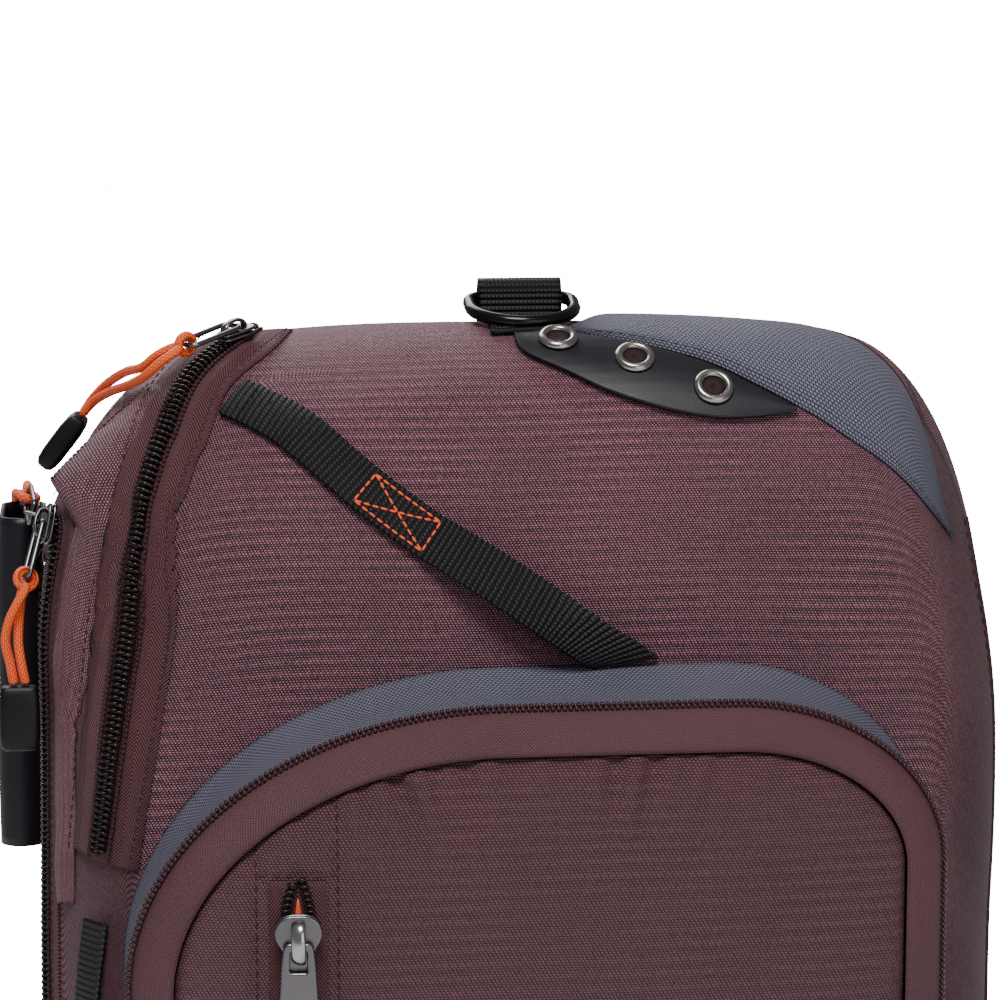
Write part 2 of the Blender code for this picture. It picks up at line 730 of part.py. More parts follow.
SIDE_ZIP = (
    # depth and height, in shares of the front depth and of the height
    (-0.10, 0.868), (-0.30, 0.878), (-0.47, 0.872), (-0.53, 0.840), (-0.56, 0.76), (-0.53, 0.62), (-0.53, 0.25),
)


def pattern(points):
    """Points of the body's surface under a route drawn in shares."""
    return [tuple(pattern_point(a * BODY_HALF_WIDTH, r * PATTERN_HIGH)[0]) for a, r in points]


def in_metres(points):
    return [(a * BODY_HALF_WIDTH, r * PATTERN_HIGH) for a, r in points]


def build_trims():
    """Grey yoke, black tab with its eyelets, and the tool webbing with its open loop."""
    grid = patch(in_metres(YOKE_LOW), in_metres(YOKE_HIGH), 18, 5, LIFT, pattern_point)
    wall("yoke_panel", grid, TRIM_THICK, "grey_fabric", BODY_CORE, outward=True)
    grid = patch(in_metres(TAB_LOW), in_metres(TAB_HIGH), 14, 3, LIFT, pattern_point)
    wall("eyelet_tab", grid, TAB_THICK, "black_sheet", BODY_CORE, outward=True)
    tab_top = tree_of(grid + normals_of(grid, closed=False, capped=False) * TAB_THICK, closed=False)
    for number, (across, rise) in enumerate(EYELETS, start=1):
        place, _ = pattern_point(across * BODY_HALF_WIDTH, rise * PATTERN_HIGH)
        made = ring_of(f"eyelet_{number}", EYELET_HOLE, EYELET_OUTER, EYELET_HIGH, "nickel")
        made.matrix_world = seated(tab_top, place, Vector((1, 0, 0)), EYELET_OUTER, EYELET_OUTER)
    columns = 30
    shares = np.linspace(0, 1, columns)
    open_loop = np.clip((shares - WEBBING_SEWN) / (1 - WEBBING_SEWN), 0, 1)
    lifts = LIFT + WEBBING_BOW * np.sin(np.pi * open_loop) ** 0.8
    grid = ribbon_grid(pattern(WEBBING), WEBBING_WIDE, columns, 3, BODY_TREE, lifts, slant=0.9)
    wall("tool_webbing", grid, WEBBING_THICK, "black_webbing", BODY_CORE, outward=True)
    grid = ribbon_grid(pattern(LABEL), LABEL_WIDE, 5, 2, BODY_TREE, [LIFT] * 5)
    wall("side_label_tab", grid, TRIM_THICK, "black_webbing", BODY_CORE, outward=True)


def ring_of(name, hole, outer, high, finish):
    """A flat ring with a rounded top, turned about its own Z axis."""
    mesh = bpy.data.meshes.new(name)
    middle = (hole + outer) / 2
    profile = ((outer, 0), (outer, high * 0.5), (middle, high), (hole, high * 0.5), (hole, 0))
    bm = bmesh.new()
    made = [bm.verts.new((x, 0, z)) for x, z in reversed(profile)]
    for a, b in zip(made, made[1:] + made[:1]):
        bm.edges.new((a, b))
    bmesh.ops.spin(bm, geom=bm.verts[:] + bm.edges[:], cent=(0, 0, 0), axis=(0, 0, 1),
                   angle=math.tau, steps=14, use_merge=True)
    bmesh.ops.remove_doubles(bm, verts=bm.verts, dist=1e-5)
    bmesh.ops.recalc_face_normals(bm, faces=bm.faces)
    bm.to_mesh(mesh)
    bm.free()
    return add(name, mesh, finish, 50.0)


ZIP_TOPS = {}
ZIP_TREES = {}


def build_zips():
    """Main zip over the left shoulder and side zip down the left side, each a tape and a coil."""
    zips = (
        # name, route, width of the tape, columns
        ("main_zip", pattern(MAIN_ZIP), MAIN_TAPE_WIDE, 22),
        ("side_zip", [tuple(side_point(d * BODY_FRONT, h * BODY_HEIGHT)[0]) for d, h in SIDE_ZIP],
         SIDE_TAPE_WIDE, 30),
    )
    for name, route, wide, columns in zips:
        tape = ribbon_grid(route, wide, columns, 5, BODY_TREE, [LIFT] * columns)
        wall(f"{name}_tape", tape, TAPE_THICK, "maroon_tape", BODY_CORE, outward=True)
        top = tape + normals_of(tape, closed=False, capped=False) * TAPE_THICK
        coil = ribbon_grid(tape[2], COIL_WIDE, columns, 2, tree_of(top, closed=False), [CLEARANCE] * columns)
        wall(f"{name}_coil", coil, COIL_THICK, "coil_plastic", BODY_CORE, outward=True)
        ZIP_TOPS[name] = coil + normals_of(coil, closed=False, capped=False) * COIL_THICK
        ZIP_TREES[name] = tree_of(ZIP_TOPS[name], closed=False)


def block(size, centre):
    """A plain box of a size about a centre, for a Boolean."""
    mesh = bpy.data.meshes.new("block")
    bm = bmesh.new()
    bmesh.ops.create_cube(bm, size=1.0)
    bmesh.ops.scale(bm, vec=size, verts=bm.verts)
    bmesh.ops.translate(bm, vec=centre, verts=bm.verts)
    bm.to_mesh(mesh)
    bm.free()
    made = bpy.data.objects.new("block", mesh)
    CUTTERS.objects.link(made)
    made.hide_render = True
    made.display_type = "WIRE"
    return made


def combined(base, steps):
    """The mesh of a base block after Boolean steps, each an operation and a block."""
    for operation, other in steps:
        cut = base.modifiers.new(operation, "BOOLEAN")
        cut.operation = operation
        cut.object = other
    graph = bpy.context.evaluated_depsgraph_get()
    graph.update()
    mesh = bpy.data.meshes.new_from_object(base.evaluated_get(graph))
    for used in [base] + [other for _, other in steps]:
        bpy.data.objects.remove(used, do_unlink=True)
    return mesh


def slider(name, wide, long, base, tunnel, roof, bridge, bridge_long, open_long, finish):
    """A zip slider on its own XY plane: a base plate and a narrow bridge with a tunnel under it."""
    high = base + tunnel + roof
    body = block((wide, long, base), (0, 0, base / 2))
    arch = block((bridge, bridge_long, high - base / 2), (0, 0, (high + base / 2) / 2))
    hollow = block((wide * 2, open_long, tunnel), (0, 0, base + tunnel / 2))
    made = add(name, combined(body, (("UNION", arch), ("DIFFERENCE", hollow))), finish)
    return made


def wire_loop(name, start, along, across, wide, long, wire, finish):
    """A long ring of wire, from a bar at its start to its far end."""
    half, turn = wide / 2, wide * 0.2
    points = []
    for side, centre, first in ((1, turn, -90), (1, long - turn, 0), (-1, long - turn, 90), (-1, turn, 180)):
        for t in np.radians(np.linspace(first, first + 90, 4)):
            ahead, aside = centre + turn * math.sin(t), side * (half - turn) + turn * math.cos(t)
            points.append(start + along * ahead + across * aside)
    return tube(name, points, wire, finish, closed=True)


PULLS = (
    # name, zip, share of the way along it, and the middle of the pull's far bar from there
    ("main", "main_zip", 0.10, (-0.0132, -0.0088, -0.0006)),
    ("side", "side_zip", 0.12, (-0.0068, -0.0088, -0.0128)),
    ("rear", "side_zip", 0.03, (-0.0046, 0.0157, 0.0031)),
)
CORDS = {
    # Each strand's own points, chosen by hand in metres from its slider's place, hitch to moulded end
    "main_cord_a": (
        (-0.0175, -0.0098, -0.0016), (-0.0211, -0.0093, -0.0036), (-0.0247, -0.0058, -0.0068),
        (-0.0287, 0.0052, -0.0090), (-0.0333, 0.0172, -0.0130), (-0.0375, 0.0242, -0.0178),
        (-0.0403, 0.0262, -0.0220),
    ),
    "main_cord_b": (
        (-0.0160, -0.0126, -0.0022), (-0.0199, -0.0130, -0.0048), (-0.0239, -0.0098, -0.0086),
        (-0.0283, 0.0002, -0.0121), (-0.0329, 0.0122, -0.0150), (-0.0373, 0.0202, -0.0184),
        (-0.0407, 0.0224, -0.0222),
    ),
    "side_cord_a": (
        (-0.0072, -0.0119, -0.0154), (-0.0090, -0.0133, -0.0184), (-0.0113, -0.0138, -0.0231),
        (-0.0123, -0.0133, -0.0286), (-0.0113, -0.0128, -0.0341), (-0.0104, -0.0128, -0.0396),
    ),
    "side_cord_b": (
        (-0.0081, -0.0095, -0.0166), (-0.0084, -0.0098, -0.0196), (-0.0089, -0.0108, -0.0246),
        (-0.0090, -0.0118, -0.0296), (-0.0083, -0.0128, -0.0346), (-0.0074, -0.0128, -0.0396),
    ),
    "rear_cord_a": (
        (-0.0046, 0.0197, 0.0048), (-0.0050, 0.0287, 0.0045), (-0.0054, 0.0387, 0.0031),
        (-0.0057, 0.0477, -0.0004), (-0.0058, 0.0542, -0.0074), (-0.0058, 0.0567, -0.0179),
    ),
    "rear_cord_b": (
        (-0.0046, 0.0197, 0.0019), (-0.0066, 0.0287, 0.0016), (-0.0084, 0.0387, 0.0009),
        (-0.0089, 0.0477, -0.0009), (-0.0090, 0.0539, -0.0079), (-0.0090, 0.0567, -0.0179),
    ),
}
ENDS = {
    # Where each moulded end's mouth and tip lie from its slider's place, and its flat side's direction
    "main": ((-0.0407, 0.0241, -0.0227), (-0.0507, 0.0261, -0.0359), (0.10, 1.0, 0.0)),
    "side": ((-0.0090, -0.0133, -0.0400), (-0.0090, -0.0133, -0.0570), (1.0, 0.0, 0.0)),
    "rear": ((-0.0074, 0.0567, -0.0183), (-0.0074, 0.0567, -0.0353), (1.0, 0.0, 0.0)),
}
CORD_STEP = 2.4


def build_pulls():
    """Sliders with wire pulls, orange hitches, the strands of cord and their moulded ends."""
    high = SLIDER_BASE + SLIDER_TUNNEL / 2
    for name, zip_name, share, far in PULLS:
        coil = ZIP_TOPS[zip_name]
        at = coil[1].astype(float)
        index = min(int(share * (len(at) - 1)), len(at) - 2)
        place, along = Vector(at[index]), Vector(at[index] - at[index + 1]).normalized()
        pulled = -Vector(far).normalized()
        along += pulled * math.copysign(PULL_TURN, pulled.dot(along))
        frame = seated(ZIP_TREES[zip_name], place, along, SLIDER_WIDE / 2, SLIDER_LONG / 2)
        made = slider(f"{name}_slider", SLIDER_WIDE, SLIDER_LONG, SLIDER_BASE, SLIDER_TUNNEL, SLIDER_ROOF,
                      SLIDER_BRIDGE, SLIDER_LONG * 0.8, SLIDER_LONG * 0.5, "gunmetal")
        made.matrix_world = frame
        normal = (frame.to_3x3() @ Vector((0, 0, 1))).normalized()
        start = frame @ Vector((0, 0, high))
        knot = place + Vector(far)
        ahead = (knot - start).normalized()
        across = normal.cross(ahead).normalized()
        wire_loop(f"{name}_pull", start, ahead, across, PULL_WIDE, (knot - start).length, PULL_WIRE, "gunmetal")
        reach = PULL_WIRE / 2 + CORD_DIAMETER / 2 + CLEARANCE
        up = across.cross(ahead)
        around = [knot + (ahead * math.cos(t) + up * math.sin(t)) * reach
                  for t in np.linspace(0, math.tau, 12, endpoint=False)]
        tube(f"{name}_hitch", around, CORD_DIAMETER, "orange_cord", closed=True)
        mouth, tip, flat = place + Vector(ENDS[name][0]), place + Vector(ENDS[name][1]), Vector(ENDS[name][2])
        end = box(f"{name}_moulded_end", (END_WIDE, END_LONG, END_THICK), "black_plastic", bevel=0.0012)
        down = (tip - mouth).normalized()
        end.matrix_world = seat(down, Vector(flat).cross(down), mouth + down * (END_LONG / 2 + CLEARANCE))
        for strand in ("a", "b"):
            route = np.array(CORDS[f"{name}_cord_{strand}"]) + np.array(place)
            long = np.linalg.norm(np.diff(route, axis=0), axis=1).sum()
            count = max(4, round(long / (CORD_STEP * CORD_DIAMETER)))
            tube(f"{name}_cord_{strand}", smooth(route, count + 1), CORD_DIAMETER, "orange_cord")


def build_ring():
    """Black ring hinged in the eye of its webbing loop, on a strap sewn over the top."""
    x, y = LOOP_X, -LOOP_FORWARD * BODY_HEIGHT
    ahead = [BODY_TREE.ray_cast(Vector((x, y + 0.006 - LOOP_STRAP_LONG * s, 1.0)), Vector((0, 0, -1)))[0]
             for s in np.linspace(0, 1, 5)]
    strap = ribbon_grid(ahead, LOOP_WIDE * 0.9, 6, 3, BODY_TREE, [LIFT] * 6)
    wall("d_ring_strap", strap, TRIM_THICK, "black_webbing", BODY_CORE, outward=True)
    top = strap + normals_of(strap, closed=False, capped=False) * TRIM_THICK
    floor = top[:, :, 2].max() + CLEARANCE
    eye = RING_WIRE + 2 * CLEARANCE
    half = eye / 2 + LOOP_WALL
    outside = [(-half, 0), (half, 0), (half, LOOP_HIGH - half), (half * 0.7, LOOP_HIGH - half * 0.3),
               (0, LOOP_HIGH), (-half * 0.7, LOOP_HIGH - half * 0.3), (-half, LOOP_HIGH - half)]
    inner = half - LOOP_WALL
    inside = [(-inner, LOOP_WALL), (inner, LOOP_WALL), (inner, LOOP_HIGH - half),
              (inner * 0.7, LOOP_HIGH - LOOP_WALL - inner * 0.3), (0, LOOP_HIGH - LOOP_WALL),
              (-inner * 0.7, LOOP_HIGH - LOOP_WALL - inner * 0.3), (-inner, LOOP_HIGH - half)]
    rings = []
    for side, points in ((-1, outside), (1, outside), (1, inside), (-1, inside)):
        rings.append([(x + side * LOOP_WIDE / 2, y + a, floor + b) for a, b in points])
    rings.append(rings[0])
    faces = grid_faces(5, len(outside), True)
    mesh = bpy.data.meshes.new("d_ring_loop")
    mesh.from_pydata([p for ring in rings for p in ring], [], faces)
    bm = bmesh.new()
    bm.from_mesh(mesh)
    bmesh.ops.remove_doubles(bm, verts=bm.verts, dist=1e-6)
    bmesh.ops.recalc_face_normals(bm, faces=bm.faces)
    bm.to_mesh(mesh)
    bm.free()
    add("d_ring_loop", mesh, "black_webbing")
    half = RING_INSIDE / 2 + RING_WIRE / 2
    turn = RING_LONG * 0.62
    outline_points = [(-half, 0.0), (half, 0.0), (half, RING_LONG - turn)]
    outline_points += [(half * math.cos(t), RING_LONG - turn + turn * math.sin(t))
                       for t in np.radians(np.linspace(15, 165, 11))]
    outline_points.append((-half, RING_LONG - turn))
    bar = Vector((x, y, floor + LOOP_WALL + CLEARANCE + RING_WIRE / 2))
    tilt = math.radians(RING_TILT)
    points = [(a, -b * math.cos(tilt), -b * math.sin(tilt)) for a, b in outline_points]
    made = tube("d_ring", points, RING_WIRE, "black_plastic", closed=True)
    made.location = bar


def build_face_zip():
    """Short upright zip on the pocket's face, with a flat pull that hangs from its slider."""
    heights = np.linspace(FACE_ZIP_TOP, FACE_ZIP_LOW, 12)
    route = [tuple(face_point(FACE_ZIP_X, z)[0]) for z in heights]
    tape = ribbon_grid(route, FACE_TAPE_WIDE, 12, 3, POCKET_TREE, [LIFT] * 12)
    wall("face_zip_tape", tape, TAPE_THICK, "maroon_tape", BODY_CORE, outward=True)
    top = tape + normals_of(tape, closed=False, capped=False) * TAPE_THICK
    coil = ribbon_grid(tape[1], COIL_WIDE, 12, 2, tree_of(top, closed=False), [CLEARANCE] * 12)
    wall("face_zip_coil", coil, COIL_THICK, "coil_plastic", BODY_CORE, outward=True)
    coil_top = tree_of(coil + normals_of(coil, closed=False, capped=False) * COIL_THICK, closed=False)
    place, _ = face_point(FACE_ZIP_X, FACE_SLIDER_Z)
    frame = seated(coil_top, place, Vector((0, 0, 1)), FACE_SLIDER_WIDE / 2, FACE_SLIDER_LONG / 2)
    made = slider("face_zip_slider", FACE_SLIDER_WIDE, FACE_SLIDER_LONG, FACE_SLIDER_BASE, FACE_TUNNEL,
                  SLIDER_ROOF, FACE_BRIDGE, FACE_BRIDGE_LONG, FACE_TUNNEL, "gunmetal")
    made.matrix_world = frame
    window_wide, window_long = FACE_WINDOW
    bar = FACE_PULL_THICK
    pull = block((FACE_PULL_TOP, FACE_PULL_LONG, FACE_PULL_THICK), (0, bar / 2 - FACE_PULL_LONG / 2, 0))
    for vertex in pull.data.vertices:
        if vertex.co.y < -FACE_PULL_LONG / 2:
            vertex.co.x *= FACE_PULL_FOOT / FACE_PULL_TOP
    window = block((window_wide, window_long, 1.0), (0, -bar / 2 - window_long / 2, 0))
    made = add("face_zip_pull", combined(pull, (("DIFFERENCE", window),)), "gunmetal")
    made.matrix_world = frame @ Matrix.Translation((0, 0, FACE_SLIDER_BASE + FACE_TUNNEL / 2))


def build_sheath():
    """Flat sleeve of smooth black sheet, open at both ends, sewn to the left side."""
    middle = -(BODY_HALF_WIDTH + LIFT + SHEATH_WIDE / 2)
    half, straight = SHEATH_WIDE / 2, SHEATH_DEEP / 2 - SHEATH_WIDE / 2
    low = SIDE_ZIP[0][1] * BODY_HEIGHT + SHEATH_RISE - SHEATH_LONG
    rings = []
    for share in (0.0, 0.3, 0.65, 1.0):
        ring = []
        for side in (1, -1):
            for t in np.radians(np.linspace(0, 180, 6)):
                ring.append((middle + SHEATH_LEAN * share ** 4 + half * math.cos(t) * side,
                             SHEATH_Y + side * (straight + half * math.sin(t)),
                             low + SHEATH_LONG * share))
        rings.append(ring)
    core = np.array((middle, SHEATH_Y, low + SHEATH_LONG / 2))
    wall("tool_sheath", np.array(rings), SHEATH_WALL, "black_sheet", core, closed=True)


def band(name, points, across, wide, thick, finish, count, soft=0.0):
    """A strap of one width and thickness along a smooth path, its corners cut by a soft share."""
    path = smooth(points, count)
    across = np.array(across, float)
    rings = []
    for i in range(count):
        ahead = path[min(i + 1, count - 1)] - path[max(i - 1, 0)]
        out = np.cross(across, ahead)
        out /= np.linalg.norm(out)
        if soft:
            corners = ((-1, soft - 1), (-1, 1 - soft), (soft - 1, 1), (1 - soft, 1),
                       (1, 1 - soft), (1, soft - 1), (1 - soft, -1), (soft - 1, -1))
            cut = soft * thick / wide
            corners = [(a if abs(a) == 1 else math.copysign(1 - cut, a), b) for a, b in corners]
        else:
            corners = ((-1, -1), (-1, 1), (1, 1), (1, -1))
        rings.append([path[i] + across * a * wide / 2 + out * b * thick / 2 for a, b in corners])
    return loft(name, np.array(rings), finish, path[count // 2])


def build_back():
    """Haul handle, two padded shoulder straps, and the buckles and belts that end them."""
    back = BODY_BACK + SEAM_GAP + BACK_PAD + CLEARANCE
    half = ((-1.14, 0.0), (-0.97, 0.01), (-0.80, 0.30), (-0.45, 0.84), (0.0, 1.0))
    shape = half + tuple((-a, s) for a, s in reversed(half[:-1]))
    handle = [(a * HANDLE_HALF, back + HANDLE_THICK / 2 + s * HANDLE_STAND, HANDLE_Z) for a, s in shape]
    band("haul_handle", handle, (0, 0, 1), BELT_WIDE, HANDLE_THICK, "black_webbing", 17)
    strap_y = back + STRAP_THICK / 2
    drop = STRAP_TOP - STRAP_END
    falls = ((0.0, 0.0), (0.10, 0.02), (0.28, 0.42), (0.48, 0.90), (0.66, 1.0), (0.84, 0.75), (1.0, 0.36))
    for side, sign in (("left", -1), ("right", 1)):
        x = sign * STRAP_SPREAD
        path = [(x, strap_y + s * STRAP_STAND, STRAP_TOP - d * drop) for d, s in falls]
        band(f"shoulder_strap_{side}", path, (1, 0, 0), STRAP_WIDE, STRAP_THICK, "black_mesh", 14, soft=0.5)
        end = Vector(path[-1])
        down = (end - Vector(path[-2])).normalized()
        buckle = box(f"strap_buckle_{side}", (BELT_WIDE + 0.008, BUCKLE_LONG, BUCKLE_THICK), "black_plastic", 0.001)
        facing_out = Vector((1, 0, 0)).cross(down) * -1
        buckle.matrix_world = seat(down, facing_out, end + down * (CLEARANCE + BUCKLE_LONG / 2 + 0.001))
        start = end + down * (BUCKLE_LONG + 3 * CLEARANCE + 0.001)
        finish_point = Vector((sign * BELT_SPREAD, back + 0.001, BELT_END))
        between = start.lerp(finish_point, 0.5) + Vector((0, 0.004, 0))
        band(f"strap_belt_{side}", [tuple(start), tuple(between), tuple(finish_point)], (1, 0, 0),
             BELT_WIDE, WEBBING_THICK, "black_webbing", 8)


build_body()
build_pocket()
build_trims()
build_zips()
build_pulls()
build_ring()
build_face_zip()
build_sheath()
build_back()
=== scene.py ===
import bpy
import json
import math
import numpy as np
from mathutils import Matrix, Vector
from mathutils.bvhtree import BVHTree


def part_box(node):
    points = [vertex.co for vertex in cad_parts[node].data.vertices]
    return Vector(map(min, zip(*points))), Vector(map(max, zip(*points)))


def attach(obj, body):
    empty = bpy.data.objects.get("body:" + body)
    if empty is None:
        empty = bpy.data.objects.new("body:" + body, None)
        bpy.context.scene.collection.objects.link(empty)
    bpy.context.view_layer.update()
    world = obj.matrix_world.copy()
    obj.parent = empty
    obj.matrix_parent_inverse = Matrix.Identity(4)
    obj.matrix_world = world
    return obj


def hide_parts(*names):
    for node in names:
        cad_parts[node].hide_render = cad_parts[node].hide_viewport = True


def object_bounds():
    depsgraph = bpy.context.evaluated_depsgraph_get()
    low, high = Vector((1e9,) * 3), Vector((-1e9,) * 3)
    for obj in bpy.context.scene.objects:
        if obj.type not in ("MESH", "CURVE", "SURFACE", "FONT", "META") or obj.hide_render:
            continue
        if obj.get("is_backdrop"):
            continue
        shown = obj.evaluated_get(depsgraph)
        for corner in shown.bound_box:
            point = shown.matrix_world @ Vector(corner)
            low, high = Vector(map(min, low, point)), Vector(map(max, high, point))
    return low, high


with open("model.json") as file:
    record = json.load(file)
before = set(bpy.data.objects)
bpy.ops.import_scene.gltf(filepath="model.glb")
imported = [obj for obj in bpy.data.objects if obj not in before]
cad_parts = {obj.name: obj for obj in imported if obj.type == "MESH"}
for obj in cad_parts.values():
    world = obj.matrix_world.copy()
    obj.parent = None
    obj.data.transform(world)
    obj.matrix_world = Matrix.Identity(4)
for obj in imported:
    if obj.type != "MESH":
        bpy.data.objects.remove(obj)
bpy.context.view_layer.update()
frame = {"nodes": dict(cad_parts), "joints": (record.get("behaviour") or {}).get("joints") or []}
PACK = "pack"

# Camera, lights and room: a long lens a little above the pack, one soft key from above and two weaker lamps.
# The room is bright white to the camera alone and lights the pack only weakly.
CAMERA_TURN, CAMERA_RISE, CAMERA_AWAY, CAMERA_FIELD = -7.0, 8.0, 0.85, 17.4
CAMERA_TARGET = Vector((-0.0102, -0.06, 0.3525))
turn, rise = math.radians(CAMERA_TURN), math.radians(CAMERA_RISE)
away = Vector((math.sin(turn) * math.cos(rise), -math.cos(turn) * math.cos(rise), math.sin(rise)))
camera_data = bpy.data.cameras.new("camera")
camera_data.angle = math.radians(CAMERA_FIELD)
camera = bpy.data.objects.new("camera", camera_data)
bpy.context.scene.collection.objects.link(camera)
camera.location = CAMERA_TARGET + away * CAMERA_AWAY
camera.rotation_euler = (-away).to_track_quat("-Z", "Y").to_euler()
bpy.context.scene.camera = camera

LAMPS_AIM = Vector((0, -0.02, 0.3))
LIGHTS = (
    # name, place, size, power, colour
    ("key_light", (-0.20, -0.95, 1.75), 0.6, 29.0, (1.0, 0.975, 0.99)),
    ("fill_light", (0.5, -1.4, 0.55), 0.9, 4.0, (0.96, 0.97, 1.0)),
    ("rim_light", (-0.3, 0.9, 1.2), 0.8, 12.0, (1.0, 1.0, 1.0)),
)
for name, place, size, power, colour in LIGHTS:
    lamp = bpy.data.lights.new(name, "AREA")
    lamp.size, lamp.energy, lamp.color = size, power, colour
    made = bpy.data.objects.new(name, lamp)
    bpy.context.scene.collection.objects.link(made)
    made.location = place
    made.rotation_euler = (Vector(place) - LAMPS_AIM).to_track_quat("Z", "Y").to_euler()
world = bpy.data.worlds.new("room")
bpy.context.scene.world = world
world.use_nodes = True
ROOM_LIGHT, WHITE_SEEN = 0.22, 16.0
sky = world.node_tree
seen = sky.nodes.new("ShaderNodeLightPath").outputs["Is Camera Ray"]
level = sky.nodes.new("ShaderNodeMapRange")
level.inputs["To Min"].default_value, level.inputs["To Max"].default_value = ROOM_LIGHT, WHITE_SEEN
sky.links.new(seen, level.inputs["Value"])
sky.nodes["Background"].inputs["Color"].default_value = (1.0, 1.0, 1.0, 1.0)
sky.links.new(level.outputs[0], sky.nodes["Background"].inputs["Strength"])


# Dark finishes reflect less at their surface, so that black cloth and plastic stay black.
DARK, DARK_SPECULAR = 0.05, 0.30


def put(tree, kind, inputs=(), **settings):
    made = tree.nodes.new(kind)
    for key, value in settings.items():
        setattr(made, key, value)
    for key, value in dict(inputs).items():
        if isinstance(value, bpy.types.NodeSocket):
            tree.links.new(value, made.inputs[key])
        else:
            made.inputs[key].default_value = value
    return made


def calc(tree, operation, one, two=0.0, three=0.0, clamp=False):
    inputs = {0: one, 1: two, 2: three}
    return put(tree, "ShaderNodeMath", inputs, operation=operation, use_clamp=clamp).outputs[0]


def ramp(tree, value, stops):
    made = put(tree, "ShaderNodeValToRGB", {0: value})
    band = made.color_ramp.elements
    while len(band) < len(stops):
        band.new(0.5)
    for stop, (place, colour) in zip(band, stops):
        stop.position, stop.color = place, (*colour, 1.0)
    return made.outputs["Color"]


def material(name, slot, colour, roughness, metallic=0.0, **more):
    made = bpy.data.materials.new(name)
    made.use_nodes = True
    made["slot"] = slot
    shader = made.node_tree.nodes["Principled BSDF"]
    shader.inputs["Base Color"].default_value = (*colour, 1.0)
    shader.inputs["Roughness"].default_value = roughness
    shader.inputs["Metallic"].default_value = metallic
    if max(colour) < DARK:
        shader.inputs["Specular IOR Level"].default_value = DARK_SPECULAR
    for key, value in more.items():
        shader.inputs[key.replace("_", " ")].default_value = value
    return made, made.node_tree, shader


def group(name, inputs, outputs):
    made = bpy.data.node_groups.new(name, "ShaderNodeTree")
    for label, kind, value in inputs:
        socket = made.interface.new_socket(label, in_out="INPUT", socket_type=kind)
        if value is not None:
            socket.default_value = value
    for label, kind in outputs:
        made.interface.new_socket(label, in_out="OUTPUT", socket_type=kind)
    return made, made.nodes.new("NodeGroupInput"), made.nodes.new("NodeGroupOutput")


# Shared cloth shaders: threads in staggered rows, a herringbone, and an uneven tone from noise, which on the
# brown cloth also paints sheen in patches.
# The first two read cloth coordinates in metres; the tone reads the object's own.
FLOAT, VECTOR = "NodeSocketFloat", "NodeSocketVector"
threads, given, result = group("threads", (
    ("Place", VECTOR, None), ("Wide", FLOAT, 0.001), ("High", FLOAT, 0.001), ("Stagger", FLOAT, 0.5),
), (("Height", FLOAT),))
split = put(threads, "ShaderNodeSeparateXYZ", {0: given.outputs["Place"]})
u = calc(threads, "DIVIDE", split.outputs[0], given.outputs["Wide"])
v = calc(threads, "DIVIDE", split.outputs[1], given.outputs["High"])
u = calc(threads, "MULTIPLY_ADD", calc(threads, "FLOOR", v), given.outputs["Stagger"], u)
ROUNDNESS = 0.7
humps = []
for side in (u, v):
    hump = calc(threads, "ABSOLUTE", calc(threads, "SINE", calc(threads, "MULTIPLY", side, math.pi)))
    humps.append(calc(threads, "POWER", hump, ROUNDNESS))
threads.links.new(calc(threads, "MULTIPLY", *humps), result.inputs["Height"])

herringbone, given, result = group("herringbone", (
    ("Place", VECTOR, None), ("Band", FLOAT, 0.004), ("Pitch", FLOAT, 0.0009), ("Slope", FLOAT, 1.4),
), (("Height", FLOAT),))
split = put(herringbone, "ShaderNodeSeparateXYZ", {0: given.outputs["Place"]})
fold = calc(herringbone, "PINGPONG", split.outputs[1], given.outputs["Band"])
slant = calc(herringbone, "MULTIPLY_ADD", fold, given.outputs["Slope"], split.outputs[0])
count = calc(herringbone, "DIVIDE", slant, given.outputs["Pitch"])
wave = calc(herringbone, "SINE", calc(herringbone, "MULTIPLY", count, math.tau))
herringbone.links.new(calc(herringbone, "MULTIPLY_ADD", wave, 0.5, 0.5), result.inputs["Height"])

tone_and_sheen, given, result = group("tone_and_sheen", (("Scale", FLOAT, 30.0), ("Detail", FLOAT, 4.0)), (("Tone", FLOAT),))
place = put(tone_and_sheen, "ShaderNodeTexCoord").outputs["Object"]
cloud = put(tone_and_sheen, "ShaderNodeTexNoise", {"Vector": place, "Scale": given.outputs["Scale"],
                                         "Detail": given.outputs["Detail"], "Roughness": 0.6})
tone_and_sheen.links.new(cloud.outputs["Fac"], result.inputs["Tone"])


def use(tree, shared, **inputs):
    return put(tree, "ShaderNodeGroup", inputs, node_tree=shared).outputs[0]


def relief(tree, shader, height, depth):
    bump = put(tree, "ShaderNodeBump", {"Height": height, "Distance": depth, "Strength": 1.0})
    tree.links.new(bump.outputs[0], shader.inputs["Normal"])


def cloth_uv(tree):
    return put(tree, "ShaderNodeUVMap", uv_map="cloth").outputs[0]


# Brown cloth: pinkish floats over near-black gaps, in one weave for the body and a smoother one for the face.
# A fine dark line and beaded floats run across it every few millimetres, where the slow tone lets them show.
BEAT_WIDTH, LINE_WIDTH, LINE_DARKNESS = 0.16, 0.13, 0.28


